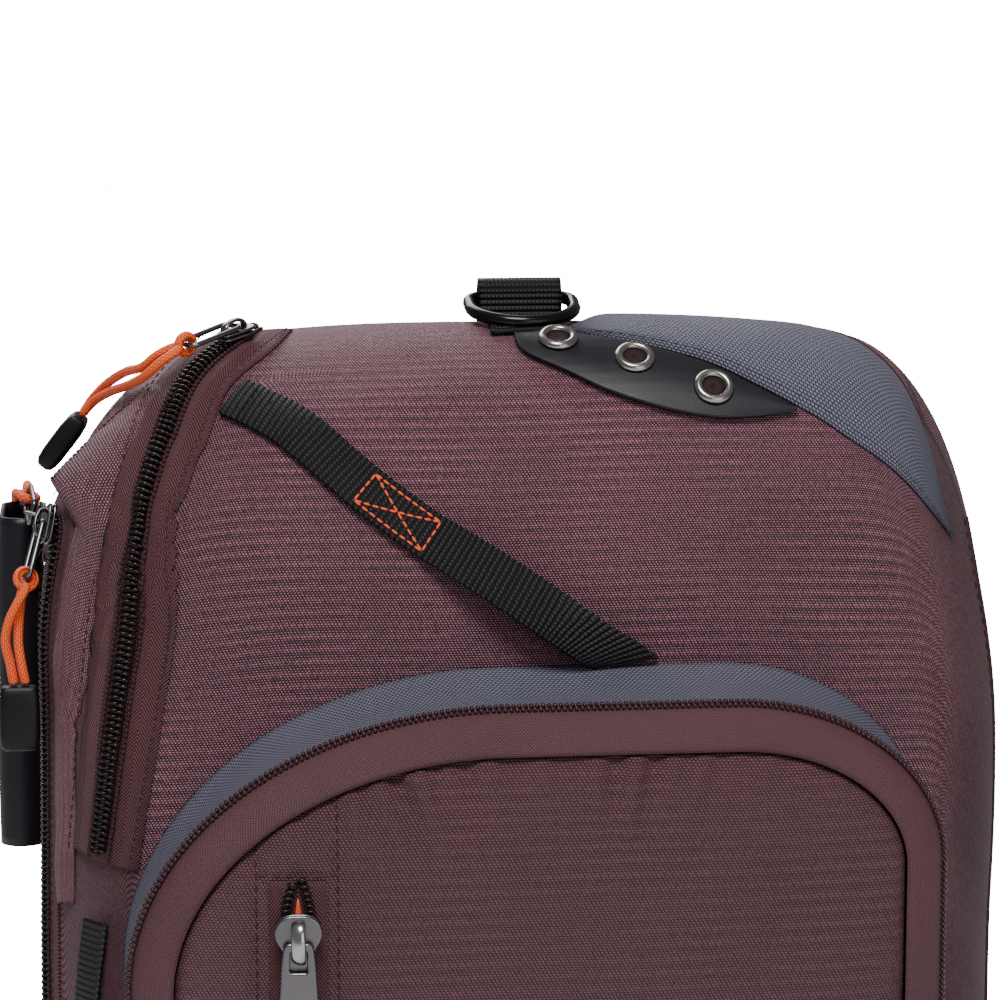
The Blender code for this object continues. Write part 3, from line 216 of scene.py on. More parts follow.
def brown_cloth(name, wide, high, row, dark, light, beads, gaps):
    made, tree, shader = material(name, "brown_fabric", light, 0.58, Sheen_Weight=0.04, Sheen_Roughness=0.35)
    shader.inputs["Sheen Tint"].default_value = (0.9, 0.65, 0.65, 1.0)
    uv = cloth_uv(tree)
    fine = calc(tree, "POWER", use(tree, threads, Place=uv, Wide=wide, High=high, Stagger=0.37), gaps)
    across = put(tree, "ShaderNodeSeparateXYZ", {0: uv})
    beat = calc(tree, "FRACT", calc(tree, "DIVIDE", across.outputs[1], row))
    bead = use(tree, threads, Place=uv, Wide=wide * 2.0, High=row, Stagger=0.5)
    near = calc(tree, "ABSOLUTE", calc(tree, "SUBTRACT", beat, 0.5))
    bead = calc(tree, "MULTIPLY", bead, calc(tree, "LESS_THAN", near, BEAT_WIDTH))
    line = calc(tree, "LESS_THAN", beat, LINE_WIDTH)
    patches = use(tree, tone_and_sheen, Scale=26.0, Detail=2.0)
    shown = calc(tree, "MULTIPLY_ADD", patches, 4.0, -1.5, clamp=True)
    level = calc(tree, "MULTIPLY_ADD", calc(tree, "MULTIPLY", bead, shown), beads, fine, clamp=True)
    darker = calc(tree, "MULTIPLY_ADD", calc(tree, "MULTIPLY", line, shown), -LINE_DARKNESS, 1.0)
    level = calc(tree, "MULTIPLY", level, darker)
    lit = level
    # Painted sheen: the broad noise layer below lightens and darkens the weave in patches; the fine one
    # varies it speck by speck.
    for scale, detail, gain, floor_level in ((14.0, 4.0, 0.6, 0.7), (1100.0, 2.0, 1.3, 0.35)):
        cloud = use(tree, tone_and_sheen, Scale=scale, Detail=detail)
        lit = calc(tree, "MULTIPLY", lit, calc(tree, "MULTIPLY_ADD", cloud, gain, floor_level))
    middle = tuple(d * 0.62 + l * 0.38 for d, l in zip(dark, light))
    colour = ramp(tree, lit, ((0.22, dark), (0.52, middle), (0.92, light)))
    tree.links.new(colour, shader.inputs["Base Color"])
    relief(tree, shader, level, 0.00030)
    return made


# The body weave's light float colour is partly the yarn's own and partly a painted glint on each float.
BODY_CLOTH = brown_cloth("body_cloth", 0.00088, 0.00062, 0.0031,
                         (0.0030, 0.0011, 0.0016), (0.400, 0.145, 0.200), beads=0.24, gaps=1.5)
FACE_CLOTH = brown_cloth("face_cloth", 0.00100, 0.00066, 0.0036,
                         (0.029, 0.0085, 0.0125), (0.120, 0.037, 0.054), beads=0.30, gaps=0.8)


# Plain weaves, herringbone tape and ribbed webbing: a dark gap colour rises to the yarn's own colour.
def woven_cloth(name, slot, wide, high, dark, light, depth, roughness=0.6):
    made, tree, shader = material(name, slot, light, roughness)
    fine = use(tree, threads, Place=cloth_uv(tree), Wide=wide, High=high, Stagger=0.5)
    slow = use(tree, tone_and_sheen, Scale=35.0, Detail=3.0)
    lit = calc(tree, "MULTIPLY", fine, calc(tree, "MULTIPLY_ADD", slow, 0.6, 0.7))
    tree.links.new(ramp(tree, lit, ((0.1, dark), (0.75, light))), shader.inputs["Base Color"])
    relief(tree, shader, fine, depth)
    return made


GREY_CLOTH = woven_cloth("grey_cloth", "grey_fabric", 0.00125, 0.00085,
                         (0.008, 0.0085, 0.014), (0.165, 0.165, 0.230), 0.0004)
MESH_CLOTH = woven_cloth("mesh_cloth", "black_mesh", 0.0030, 0.0026,
                         (0.004, 0.004, 0.005), (0.035, 0.035, 0.038), 0.0006, 0.9)
POCKET_TAPE = woven_cloth("pocket_tape", "maroon_tape", 0.0009, 0.0005,
                          (0.030, 0.009, 0.012), (0.115, 0.037, 0.048), 0.00015)


def coloured_by(tree, shader, level, stops, depth):
    tree.links.new(ramp(tree, level, stops), shader.inputs["Base Color"])
    relief(tree, shader, level, depth)


TAPE_CLOTH, tree, shader = material("tape_cloth", "maroon_tape", (0.07, 0.022, 0.022), 0.7)
bone = use(tree, herringbone, Place=cloth_uv(tree), Band=0.0036, Pitch=0.00105, Slope=1.3)
slow = use(tree, tone_and_sheen, Scale=60.0, Detail=3.0)
lit = calc(tree, "MULTIPLY", bone, calc(tree, "MULTIPLY_ADD", slow, 0.6, 0.7))
colour = ramp(tree, lit, ((0.1, (0.010, 0.003, 0.004)), (0.85, (0.150, 0.042, 0.050))))
tree.links.new(colour, shader.inputs["Base Color"])
relief(tree, shader, bone, 0.0003)

RIB_PITCH = 0.00165
WEBBING_CLOTH, tree, shader = material("webbing_cloth", "black_webbing", (0.012, 0.012, 0.013), 0.55)
uv = cloth_uv(tree)
split = put(tree, "ShaderNodeSeparateXYZ", {0: uv})
turns = calc(tree, "MULTIPLY", split.outputs[0], math.pi / RIB_PITCH)
rib = calc(tree, "ABSOLUTE", calc(tree, "SINE", turns))
fine = use(tree, threads, Place=uv, Wide=RIB_PITCH, High=0.0011, Stagger=0.0)
lit = calc(tree, "MULTIPLY", rib, calc(tree, "MULTIPLY_ADD", fine, 0.6, 0.5))
coloured_by(tree, shader, lit, ((0.35, (0.0006, 0.0006, 0.0008)), (0.95, (0.020, 0.019, 0.024))), 0.0005)


# Plain finishes: satin sheet, plastics, threads and plated metals, each slightly uneven in its shine.
# The cord is a polyester braid, so it has the staggered threads instead.
def plain(name, slot, colour, roughness, metallic=0.0, grain=300.0, depth=0.00003, spread=0.25, **more):
    made, tree, shader = material(name, slot, colour, roughness, metallic, **more)
    speck = use(tree, tone_and_sheen, Scale=grain, Detail=5.0)
    slow = use(tree, tone_and_sheen, Scale=40.0, Detail=3.0)
    rough = calc(tree, "MULTIPLY_ADD", slow, spread, roughness - spread / 2, clamp=True)
    tree.links.new(rough, shader.inputs["Roughness"])
    relief(tree, shader, speck, depth)
    return made


BLACK_SHEET = plain("black_satin", "black_sheet", (0.0080, 0.0074, 0.0112), 0.42, grain=1500.0, depth=0.00004)
BLACK_GLOSS = plain("black_gloss", "black_plastic", (0.002, 0.002, 0.0025), 0.22, grain=200.0, spread=0.12)
BLACK_MATTE = plain("black_matte", "black_plastic", (0.0016, 0.0016, 0.0022), 0.44,
                    grain=1200.0, depth=0.00005)
COIL_PLASTIC = plain("coil_plastic", "coil_plastic", (0.010, 0.004, 0.0045), 0.24, grain=900.0)
COIL_BEAD = plain("coil_bead", "coil_plastic", (0.040, 0.014, 0.017), 0.25, grain=900.0)
COIL_DARK = plain("coil_dark", "coil_plastic", (0.012, 0.006, 0.007), 0.26, grain=900.0)
GUNMETAL = plain("gunmetal", "gunmetal", (0.17, 0.16, 0.17), 0.27, 1.0, grain=500.0, depth=0.00002)
# A lighter copy of the gunmetal, for the face slider's arch: a painted highlight.
GUNMETAL_HIGHLIGHT = plain("gunmetal_painted_highlight", "gunmetal", (0.42, 0.40, 0.42), 0.20, 1.0, grain=500.0, depth=0.00002)
NICKEL = plain("nickel", "nickel", (0.36, 0.34, 0.32), 0.24, 1.0, grain=500.0, depth=0.00002)
MAROON_THREAD = plain("maroon_thread", "maroon_tape", (0.032, 0.010, 0.012), 0.65)
GREY_THREAD = plain("grey_thread", "grey_fabric", (0.075, 0.076, 0.108), 0.65)
ORANGE_THREAD = plain("orange_thread", "orange_cord", (0.85, 0.095, 0.015), 0.6)
ORANGE_LINING = plain("orange_lining", "orange_cord", (0.80, 0.09, 0.02), 0.7)

ORANGE_CORD, tree, shader = material("orange_cord", "orange_cord", (1.0, 0.115, 0.02), 0.5)
braid = use(tree, threads, Place=cloth_uv(tree), Wide=0.00125, High=0.0007, Stagger=0.5)
coloured_by(tree, shader, braid, ((0.05, (0.70, 0.045, 0.006)), (0.7, (1.0, 0.140, 0.016))), 0.00025)


# Curves, grids and meshes: routes are smoothed, laid on a surface and made into sheets or tubes.
# Every sheet and tube carries cloth coordinates in metres, so each weave keeps its real size.
def distances(points):
    """The distance along a row of points, from the first to each."""
    return np.cumsum(np.r_[0, np.linalg.norm(np.diff(points, axis=0), axis=1)])


def sampled(points, along, wanted):
    return np.stack([np.interp(wanted, along, points[:, k]) for k in range(points.shape[1])], axis=1)


def smooth(points, count):
    given = np.array(points, float)
    ends = np.vstack([2 * given[0] - given[1], given, 2 * given[-1] - given[-2]])
    fine = []
    for a, b, c, d in zip(ends[:-3], ends[1:-2], ends[2:-1], ends[3:]):
        for t in np.linspace(0, 1, 24, endpoint=False):
            fine.append(0.5 * (2 * b + (c - a) * t + (2 * a - 5 * b + 4 * c - d) * t * t
                               + (3 * b - a - 3 * c + d) * t ** 3))
    fine = np.array(fine + [given[-1]])
    along = distances(fine)
    return sampled(fine, along, np.linspace(0, along[-1], count))


def length_of(points):
    return np.linalg.norm(np.diff(np.array(points, float), axis=0), axis=1).sum()


def unit(vectors):
    return vectors / np.maximum(np.linalg.norm(vectors, axis=-1, keepdims=True), 1e-12)


CORE = np.array((0.0, 0.0, 0.19))


def normals_of(grid, closed):
    if closed:
        around = np.roll(grid, -1, axis=1) - np.roll(grid, 1, axis=1)
    else:
        around = np.gradient(grid, axis=1)
    found = unit(np.cross(around, np.gradient(grid, axis=0)))
    outward = (found * (grid - grid.reshape(-1, 3).mean(axis=0))).sum() > 0
    return found if outward else -found


def faces_of(rows, columns, closed, capped=False):
    wrap = columns if closed else columns - 1
    faces = [(r * columns + c, r * columns + (c + 1) % columns, (r + 1) * columns + (c + 1) % columns,
              (r + 1) * columns + c) for r in range(rows - 1) for c in range(wrap)]
    return faces + [tuple(range((rows - 1) * columns, rows * columns))] if capped else faces


def finish_object(name, mesh, finish, body, stands_for=()):
    mesh.materials.clear()
    mesh.materials.append(finish)
    mesh.shade_smooth()
    made = bpy.data.objects.new(name, mesh)
    bpy.context.scene.collection.objects.link(made)
    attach(made, body)
    if stands_for:
        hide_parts(*stands_for)
    return made


def baked(made):
    graph = bpy.context.evaluated_depsgraph_get()
    graph.update()
    mesh = bpy.data.meshes.new_from_object(made.evaluated_get(graph))
    made.modifiers.clear()
    made.data = mesh
    return made


def grid_mesh(name, grid, uv, closed=False, capped=False, outward=None):
    points = grid.reshape(-1, 3)
    faces = faces_of(*grid.shape[:2], closed, capped)
    mesh = bpy.data.meshes.new(name)
    wanted = outward if outward is not None else normals_of(grid, closed)
    first = faces[len(faces) // 2]
    one, two, three = (points[i] for i in first[:3])
    if np.dot(np.cross(two - one, three - one), wanted.reshape(-1, 3)[first[0]]) < 0:
        faces = [tuple(reversed(face)) for face in faces]
    mesh.from_pydata(points.tolist(), [], faces)
    layer = mesh.uv_layers.new(name="cloth")
    index = np.zeros(len(mesh.loops), np.int32)
    mesh.loops.foreach_get("vertex_index", index)
    layer.data.foreach_set("uv", uv.reshape(-1, 2)[index].astype(np.float32).ravel())
    mesh.update()
    return mesh


def bare_mesh(name, grid, outward):
    """A closed grid whose finish needs no cloth coordinates."""
    return grid_mesh(name, grid, np.zeros((*grid.shape[:2], 2)), closed=True, outward=outward)


def sheet(name, grid, uv, finish, thick, stands_for=(), body=PACK, closed=False, capped=False, outward=None):
    mesh = grid_mesh(name, grid, uv, closed, capped, outward)
    made = finish_object(name, mesh, finish, body, stands_for)
    shell = made.modifiers.new("thickness", "SOLIDIFY")
    shell.thickness, shell.offset = thick, -1.0
    return baked(made)


def metres(grid, row=None):
    """Distances along and across a grid, for its cloth coordinates."""
    across = np.cumsum(np.r_[0, np.linalg.norm(np.diff(grid, axis=0), axis=2).mean(axis=1)])
    return np.stack(np.meshgrid(distances(grid[len(grid) // 2 if row is None else row]), across), axis=-1)


def tube_grid(points, radius, sides=16, closed=False, squash=1.0):
    path = np.array(points, float)
    ahead = np.roll(path, -1, axis=0) - np.roll(path, 1, axis=0) if closed else np.gradient(path, axis=0)
    ahead = unit(ahead)
    side = unit(np.cross(ahead[0], (0.31, 0.2, 0.93)))
    rings = []
    for centre, way in zip(path, ahead):
        side = unit(side - way * np.dot(side, way))
        over = np.cross(way, side)
        turns = np.linspace(0, math.tau, sides, endpoint=False)
        ring = np.outer(np.cos(turns), side) + squash * np.outer(np.sin(turns), over)
        rings.append(centre + radius * ring)
    return np.array(rings)


def tube(name, points, radius, finish, body=PACK, stands_for=(), sides=16, closed=False):
    """A round tube through points, with rounded ends unless it is a closed ring."""
    rings = tube_grid(points, radius, sides, closed)
    path = np.array(points, float)
    if closed:
        rings = np.concatenate([rings, rings[:1]])
    else:
        for end, way in ((0, path[0] - path[1]), (-1, path[-1] - path[-2])):
            way = unit(way) * radius
            caps = [path[end] + (rings[end] - path[end]) * math.cos(t) + way * math.sin(t) * 0.1
                    for t in np.radians((25, 50, 75, 88))]
            rings = np.concatenate([caps[::-1], rings]) if end == 0 else np.concatenate([rings, caps])
    centres = rings.mean(axis=1)
    around = np.linspace(0, math.tau * radius, sides, endpoint=False)
    uv = np.stack(np.meshgrid(around, distances(centres)), axis=-1)[..., ::-1]
    mesh = grid_mesh(name, rings, uv, closed=True, outward=rings - centres[:, None])
    return finish_object(name, mesh, finish, body, stands_for)


# Repeats: one Geometry Nodes group sets a small object on points, turned by each point's own angles.
# Stitches, zip coils and eyelets are made by it.
spread = bpy.data.node_groups.new("repeat_on_points", "GeometryNodeTree")
spread.interface.new_socket("Geometry", in_out="INPUT", socket_type="NodeSocketGeometry")
piece_in = spread.interface.new_socket("Piece", in_out="INPUT", socket_type="NodeSocketObject")
finish_in = spread.interface.new_socket("Finish", in_out="INPUT", socket_type="NodeSocketMaterial")
spread.interface.new_socket("Geometry", in_out="OUTPUT", socket_type="NodeSocketGeometry")
given, result = spread.nodes.new("NodeGroupInput"), spread.nodes.new("NodeGroupOutput")
source = put(spread, "GeometryNodeObjectInfo", {"Object": given.outputs["Piece"]})
angles = put(spread, "GeometryNodeInputNamedAttribute", {"Name": "turn"}, data_type="FLOAT_VECTOR")
sizes = put(spread, "GeometryNodeInputNamedAttribute", {"Name": "size"}, data_type="FLOAT_VECTOR")
placed = put(spread, "GeometryNodeInstanceOnPoints", {
    "Points": given.outputs["Geometry"], "Instance": source.outputs["Geometry"],
    "Rotation": angles.outputs["Attribute"], "Scale": sizes.outputs["Attribute"]})
whole = put(spread, "GeometryNodeRealizeInstances", {0: placed.outputs[0]})
coloured = put(spread, "GeometryNodeSetMaterial", {
    "Geometry": whole.outputs[0], "Material": given.outputs["Finish"]})
spread.links.new(coloured.outputs[0], result.inputs[0])


def repeated(name, piece, frames, finish, body=PACK, stands_for=(), size=(1.0, 1.0, 1.0)):
    """Copies of a small mesh, one at each 4x4 frame, as one object."""
    mesh = bpy.data.meshes.new(name)
    mesh.from_pydata([tuple(f.translation) for f in frames], [], [])
    turns = mesh.attributes.new("turn", "FLOAT_VECTOR", "POINT")
    turns.data.foreach_set("vector", np.array([tuple(f.to_euler()) for f in frames], np.float32).ravel())
    scales = mesh.attributes.new("size", "FLOAT_VECTOR", "POINT")
    scales.data.foreach_set("vector", np.tile(np.array(size, np.float32), len(frames)))
    made = bpy.data.objects.new(name, mesh)
    bpy.context.scene.collection.objects.link(made)
    source = bpy.data.objects.new("piece", piece)
    bpy.context.scene.collection.objects.link(source)
    modifier = made.modifiers.new("repeat", "NODES")
    modifier.node_group = spread
    modifier[piece_in.identifier] = source
    modifier[finish_in.identifier] = finish
    baked(made)
    mesh = made.data
    for old in (made, source):
        bpy.data.objects.remove(old, do_unlink=True)
    return finish_object(name, mesh, finish, body, stands_for)


def frame_at(place, along, normal):
    normal, along = Vector(normal).normalized(), Vector(along)
    side = along.cross(normal).normalized()
    ahead = normal.cross(side)
    return Matrix.Translation(Vector(place)) @ Matrix((side, ahead, normal)).transposed().to_4x4()


def pill(long, wide, high):
    """A stitch or a bead: a rounded body, long in Y."""
    rings, sides = 5, 8
    grid = np.array([[(math.sin(t) * math.cos(s) * wide / 2, -math.cos(t) * long / 2,
                       math.sin(t) * math.sin(s) * high / 2)
                      for s in np.linspace(0, math.tau, sides, endpoint=False)]
                     for t in np.linspace(0.35, math.pi - 0.35, rings)])
    mesh = bpy.data.meshes.new("pill")
    faces = faces_of(rings, sides, True)
    faces += [tuple(reversed(range(sides))), tuple(range((rings - 1) * sides, rings * sides))]
    mesh.from_pydata(grid.reshape(-1, 3).tolist(), [], [tuple(reversed(f)) for f in faces])
    mesh.shade_smooth()
    return mesh


# Body cloth: the shell of the pack, a woven polyester sewn from front, sides, top and base.
# It has the sections of the solid body at a finer count, with soft dents, small folds and slow waves,
# and it stands for three solids because their seams don't show.
HALF_WIDTH, HEIGHT, BACK, FRONT = 0.1295, 0.3915, 0.075, 0.075
CORNER_DEEP, CORNER_SIDE, CORNER_TOP, CORNER_FOOT, FOOT_RADIUS = 0.055, 0.028, 0.080, 0.012, 0.020
SHOULDER_LEFT, SHOULDER_RIGHT, CROWN, DROP, DOME = (0.058, 0.078), (0.044, 0.100), 0.0045, 0.022, 0.003
DENTS = (
    # across and up as shares of the half width and height, reach, depth
    (-0.72, 0.80, 0.22, 0.055), (-0.10, 0.88, 0.45, 0.040), (0.62, 0.82, 0.26, 0.045),
    (-0.90, 0.55, 0.16, -0.040), (0.88, 0.60, 0.18, 0.050),
)
FINE = 8
FOOT_STEPS, ROUND_STEPS, SIDE_STEPS, SHOULDER_STEPS, TOP_STEPS = 4, 3, 6, 7, 8


def arc(centre, reach, first, last, count):
    turns = np.radians(np.linspace(first, last, count * FINE, endpoint=False))
    return [(centre[0] + reach[0] * math.cos(t), centre[1] + reach[1] * math.sin(t)) for t in turns]


def line(first, last, count):
    shares = np.linspace(0, 1, count * FINE, endpoint=False)
    return [tuple(np.add(first, np.subtract(last, first) * s)) for s in shares]


def outline(left, right, low, high, foot, shoulder_left, shoulder_right, crown):
    """A ring of points from the middle of the foot, up the right side, over the top and down the left."""
    (wide_l, tall_l), (wide_r, tall_r) = shoulder_left, shoulder_right
    top_l, top_r = wide_l - left, right - wide_r
    ring = np.array(
        line((0.0, low), (right - foot, low), FOOT_STEPS)
        + arc((right - foot, low + foot), (foot, foot), -90, 0, ROUND_STEPS)
        + line((right, low + foot), (right, high - tall_r), SIDE_STEPS)
        + arc((top_r, high - tall_r), shoulder_right, 0, 90, SHOULDER_STEPS)
        + line((top_r, high), (top_l, high), TOP_STEPS)
        + arc((top_l, high - tall_l), shoulder_left, 90, 180, SHOULDER_STEPS)
        + line((-left, high - tall_l), (-left, low + foot), SIDE_STEPS)
        + arc((foot - left, low + foot), (foot, foot), 180, 270, ROUND_STEPS)
        + line((foot - left, low), (0.0, low), FOOT_STEPS))
    middle, half = (top_l + top_r) / 2, (top_r - top_l) / 2
    bulge = np.clip(1 - ((ring[:, 0] - middle) / half) ** 2, 0, 1) * (ring[:, 1] > high - 1e-6)
    ring[:, 1] += crown * bulge
    return ring


def body_ring(turn):
    shrink = 1 - math.cos(math.radians(turn))
    side, wide, tall = HALF_WIDTH - shrink * CORNER_SIDE, 1 - 0.25 * shrink, 1 - 0.40 * shrink
    low = max(0.0, (turn - 45) / 45) ** 2 * CORNER_FOOT
    ring = outline(side, side, low, HEIGHT - shrink * CORNER_TOP, FOOT_RADIUS,
                   (SHOULDER_LEFT[0] * wide, SHOULDER_LEFT[1] * tall),
                   (SHOULDER_RIGHT[0] * wide, SHOULDER_RIGHT[1] * tall), CROWN * (1 - shrink))
    return np.insert(ring, 1, -FRONT + CORNER_DEEP * (1 - math.sin(math.radians(turn))), axis=1)


def side_ring(share):
    ring = body_ring(0.0)
    ring[:, 1] = BACK + share * (ring[0, 1] - BACK)
    ring[:, 2] *= 1 - DROP / HEIGHT * (1 - share) ** 2
    return ring


def panel_ring(share):
    edge = body_ring(90.0)
    ring = edge.mean(axis=0) + (edge - edge.mean(axis=0)) * share
    ring[:, 1] = -FRONT - DOME * (1 - share ** 2)
    return ring


def waves(points, scale, height, seed):
    """Slow random waves over a surface, as a height at each point."""
    chance = np.random.default_rng(seed)
    total = np.zeros(points.shape[:-1])
    for _ in range(9):
        way = unit(chance.normal(size=3)) * math.tau / (scale * chance.uniform(0.6, 1.6))
        total += np.sin(points @ way + chance.uniform(0, math.tau))
    return total * height / 3


body = np.array([side_ring(s) for s in np.linspace(0, 1, 18)[:-1]]
                + [body_ring(t) for t in np.linspace(0, 90, 34)[:-1]]
                + [panel_ring(s) for s in np.linspace(1, 0.03, 40)])
for across, up, reach, depth in DENTS:
    apart = np.linalg.norm(body[..., [0, 2]] - (across * HALF_WIDTH, up * HEIGHT), axis=-1)
    apart /= reach * HALF_WIDTH
    body[..., 1] += depth * CORNER_DEEP * np.exp(-2 * apart ** 2) * np.clip(-body[..., 1] / FRONT, 0, 1)
FOLDS = (
    # across and up of both ends in metres, half width of the fold, height
    ((-0.112, 0.318), (-0.092, 0.362), 0.0045, 0.0016),
    ((-0.120, 0.300), (-0.104, 0.350), 0.0030, -0.0014),
    ((-0.060, 0.372), (-0.018, 0.381), 0.0060, 0.0008),
    ((0.020, 0.330), (0.085, 0.318), 0.0090, 0.0008),
    ((0.098, 0.300), (0.112, 0.262), 0.0070, -0.0010),
    ((-0.090, 0.300), (-0.050, 0.322), 0.0080, -0.0008),
    ((0.075, 0.352), (0.110, 0.300), 0.0060, 0.0009),
)


def folded(points):
    total = np.zeros(points.shape[:-1])
    flat = points[..., [0, 2]]
    for one, two, reach, height in FOLDS:
        one, two = np.array(one), np.array(two)
        share = np.clip(((flat - one) @ (two - one)) / ((two - one) @ (two - one)), 0, 1)
        apart = np.linalg.norm(flat - one - share[..., None] * (two - one), axis=-1)
        total += height * np.exp(-(apart / reach) ** 2) * np.clip(0.5 - points[..., 1] / 0.05, 0, 1)
    return total


body_normals = normals_of(body, True)
plain_body = body
stand = (waves(body, 0.085, 0.0007, 3) + folded(body))[..., None]
body = body + body_normals * stand * np.clip(body[..., 2:] / 0.03, 0, 1)
lean = math.radians(35.0)
raise_of = plain_body[..., 1] * math.sin(lean) + plain_body[..., 2] * math.cos(lean)
profile = plain_body[:, (FOOT_STEPS + ROUND_STEPS + SIDE_STEPS + SHOULDER_STEPS + TOP_STEPS // 2) * FINE]
climb = distances(profile[::-1])
order = profile[::-1, 1] * math.sin(lean) + profile[::-1, 2] * math.cos(lean)
up_cloth = np.interp(raise_of, order, climb)
low = raise_of < order[0]
up_cloth[low] = (raise_of[low] - order[0]) / math.cos(lean)
sideways = body_normals[..., 0]
SEAM_DEPTH = -0.045
flank = np.where(plain_body[..., 1] > SEAM_DEPTH, sideways ** 2 > 0.5, sideways ** 4)
side_u = plain_body[..., 0] * (1 - flank) + plain_body[..., 1] * flank
front_u = plain_body[..., 0] + sideways * (plain_body[..., 1] + FRONT)
body_uv = np.stack([np.where(plain_body[..., 1] > SEAM_DEPTH, side_u, front_u),
                    up_cloth * (1 - flank) + (plain_body[..., 2] + 0.02) * flank], axis=-1)
sheet("body_cloth", body, body_uv, BODY_CLOTH, 0.0014, ("front_panel", "side_gusset", "base_panel"),
      closed=True, capped=True)


def tree_of(grid, closed, capped=False):
    return BVHTree.FromPolygons(grid.reshape(-1, 3).tolist(), faces_of(*grid.shape[:2], closed, capped))


BODY_TREE = tree_of(body, True, True)


def out_of(place, normal):
    """A surface normal made to point away from the middle of the body."""
    return normal if (place - Vector(CORE)).dot(normal) > 0 else -normal


def touch(tree, place):
    near, normal, _, _ = tree.find_nearest(Vector(place))
    return near, out_of(near, normal)


# Places on the front, as shares of the half width and of the height seen when it leans back by 35 degrees.
PATTERN_HIGH = HEIGHT * math.cos(lean)
UP, INTO = Vector((0, math.sin(lean), math.cos(lean))), Vector((0, math.cos(lean), -math.sin(lean)))


def pattern_point(across, rise):
    start = Vector((across * HALF_WIDTH, 0, 0)) + UP * rise * PATTERN_HIGH - INTO
    place, normal, _, _ = BODY_TREE.ray_cast(start, INTO)
    return place, out_of(place, normal)


def patch(first, second, columns, rows, lifts):
    low, high = smooth(first, columns), smooth(second, columns)
    grid = np.zeros((rows, columns, 3))
    for r, share in enumerate(np.linspace(0, 1, rows)):
        for c in range(columns):
            place, normal = pattern_point(*(low[c] + (high[c] - low[c]) * share))
            grid[r, c] = place + normal * lifts(share, c / (columns - 1))
    return grid


def ribbon(route, wide, columns, rows, tree, lift, slant=0.0, smoothed=True):
    """A grid of one width along a route, laid on a surface, and the normals under it."""
    along = smooth(route, columns) if smoothed else np.array(route)
    grid, normals = np.zeros((rows, columns, 3)), np.zeros((rows, columns, 3))
    for c in range(columns):
        place, normal = touch(tree, along[c])
        ahead = Vector(along[min(c + 1, columns - 1)] - along[max(c - 1, 0)]).normalized()
        across = normal.cross(ahead).normalized()
        ending = max(0.0, (c / (columns - 1) - 0.8) / 0.2) * slant * wide
        for r, share in enumerate(np.linspace(-0.5, 0.5, rows)):
            near, up = touch(tree, place + across * wide * share + ahead * ending * share)
            grid[r, c] = near + up * (lift(share * 2, c / (columns - 1)) if callable(lift) else lift)
            normals[r, c] = up
    return grid, normals


def stitch_line(name, points, normals, finish, long=0.0022, gap=0.0009, wide=0.0006, lift=0.0002):
    """Stitches along a row of points on a surface."""
    points, normals = np.array(points), np.array(normals)
    count = max(2, int(length_of(points) / (long + gap)))
    along = distances(points)
    wanted = (np.arange(count) + 0.5) / count * along[-1]
    at, up = sampled(points, along, wanted), sampled(normals, along, wanted)
    way = np.gradient(at, axis=0)
    frames = [frame_at(p + n * lift, w, n) for p, n, w in zip(at, up, way)]
    return repeated(name, pill(long, wide, wide * 0.8), frames, finish)


CORDED_PITCH = 0.0014


def corded_edge(name, points, normals, wide=0.0012):
    """A folded edge that shows as a close row of small beads."""
    stitch_line(name, points, normals, MAROON_THREAD, CORDED_PITCH * 0.95, CORDED_PITCH * 0.05, wide)


def spots_on(tree, route, count, shift=(0.0, 0.0, 0.0)):
    return [touch(tree, p + np.array(shift)) for p in smooth(route, count)]


def off(spots, lift):
    """Points stood off a surface by a lift, from pairs of a place and its normal."""
    return [tuple(p + n * lift) for p, n in spots]


# Seam down the right side: where the front and the side are sewn together.
# A fine cord of folded cloth, with a row of maroon stitches beside it on the front.
RIGHT_SEAM = ((0.1138, -0.0400, 0.3416), (0.1164, -0.0450, 0.3264), (0.1190, -0.0450, 0.3071),
              (0.1209, -0.0450, 0.2710), (0.1233, -0.0450, 0.2089), (0.1240, -0.0450, 0.1200),
              (0.1225, -0.0450, 0.0400))
tube("right_seam_cord", off(spots_on(BODY_TREE, RIGHT_SEAM, 160), 0.0001), 0.0007, MAROON_THREAD, sides=10)
beside = spots_on(BODY_TREE, RIGHT_SEAM, 160, (-0.0035, -0.002, 0.0))
stitch_line("right_seam_stitch", *zip(*beside), MAROON_THREAD, 0.0022, 0.0012, 0.0005)

# Fold of body cloth over the side zip's top end: it is sewn in at the main zip and stands off to a point.
# It is the body's own cloth, with a close row of beads along its free edge.
FOLD_INNER = ((-0.0943, -0.0400, 0.3776), (-0.1056, -0.0500, 0.3606), (-0.1113, -0.0550, 0.3431),
              (-0.1119, -0.0570, 0.3225), (-0.1135, -0.0570, 0.2882), (-0.1158, -0.0570, 0.2482))
FOLD_OUTER = ((-0.0998, -0.0300, 0.3809), (-0.1132, -0.0340, 0.3693), (-0.1264, -0.0400, 0.3570))
FOLD_STRIP = ((-0.1188, -0.0460, 0.3455), (-0.1182, -0.0480, 0.3210), (-0.1188, -0.0490, 0.2866),
              (-0.1197, -0.0490, 0.2462))
inner_edge = np.array(off(spots_on(BODY_TREE, FOLD_INNER, 160), 0.0004))
strip_edge = np.array(off(spots_on(BODY_TREE, FOLD_STRIP, 106), 0.0016))
outer_edge = smooth(FOLD_OUTER, 42)
outer_edge[:10] = off([touch(BODY_TREE, q) for q in outer_edge[:10]], 0.0006)
outer_edge = np.vstack([outer_edge, np.linspace(outer_edge[-1], strip_edge[0], 14)[1:-1], strip_edge])
share = np.linspace(0, 1, 16)[:, None, None]
fold = inner_edge[None] * (1 - share) + outer_edge[None] * share
fold += unit(fold - CORE) * (0.0016 * np.sin(np.pi * share) + waves(fold, 0.02, 0.0004, 31)[..., None])
sheet("corner_fold", fold, metres(fold), BODY_CLOTH, 0.0012, outward=fold - CORE)
corded_edge("corner_fold_edge", outer_edge[:42], unit(outer_edge[:42] - CORE), wide=0.0007)

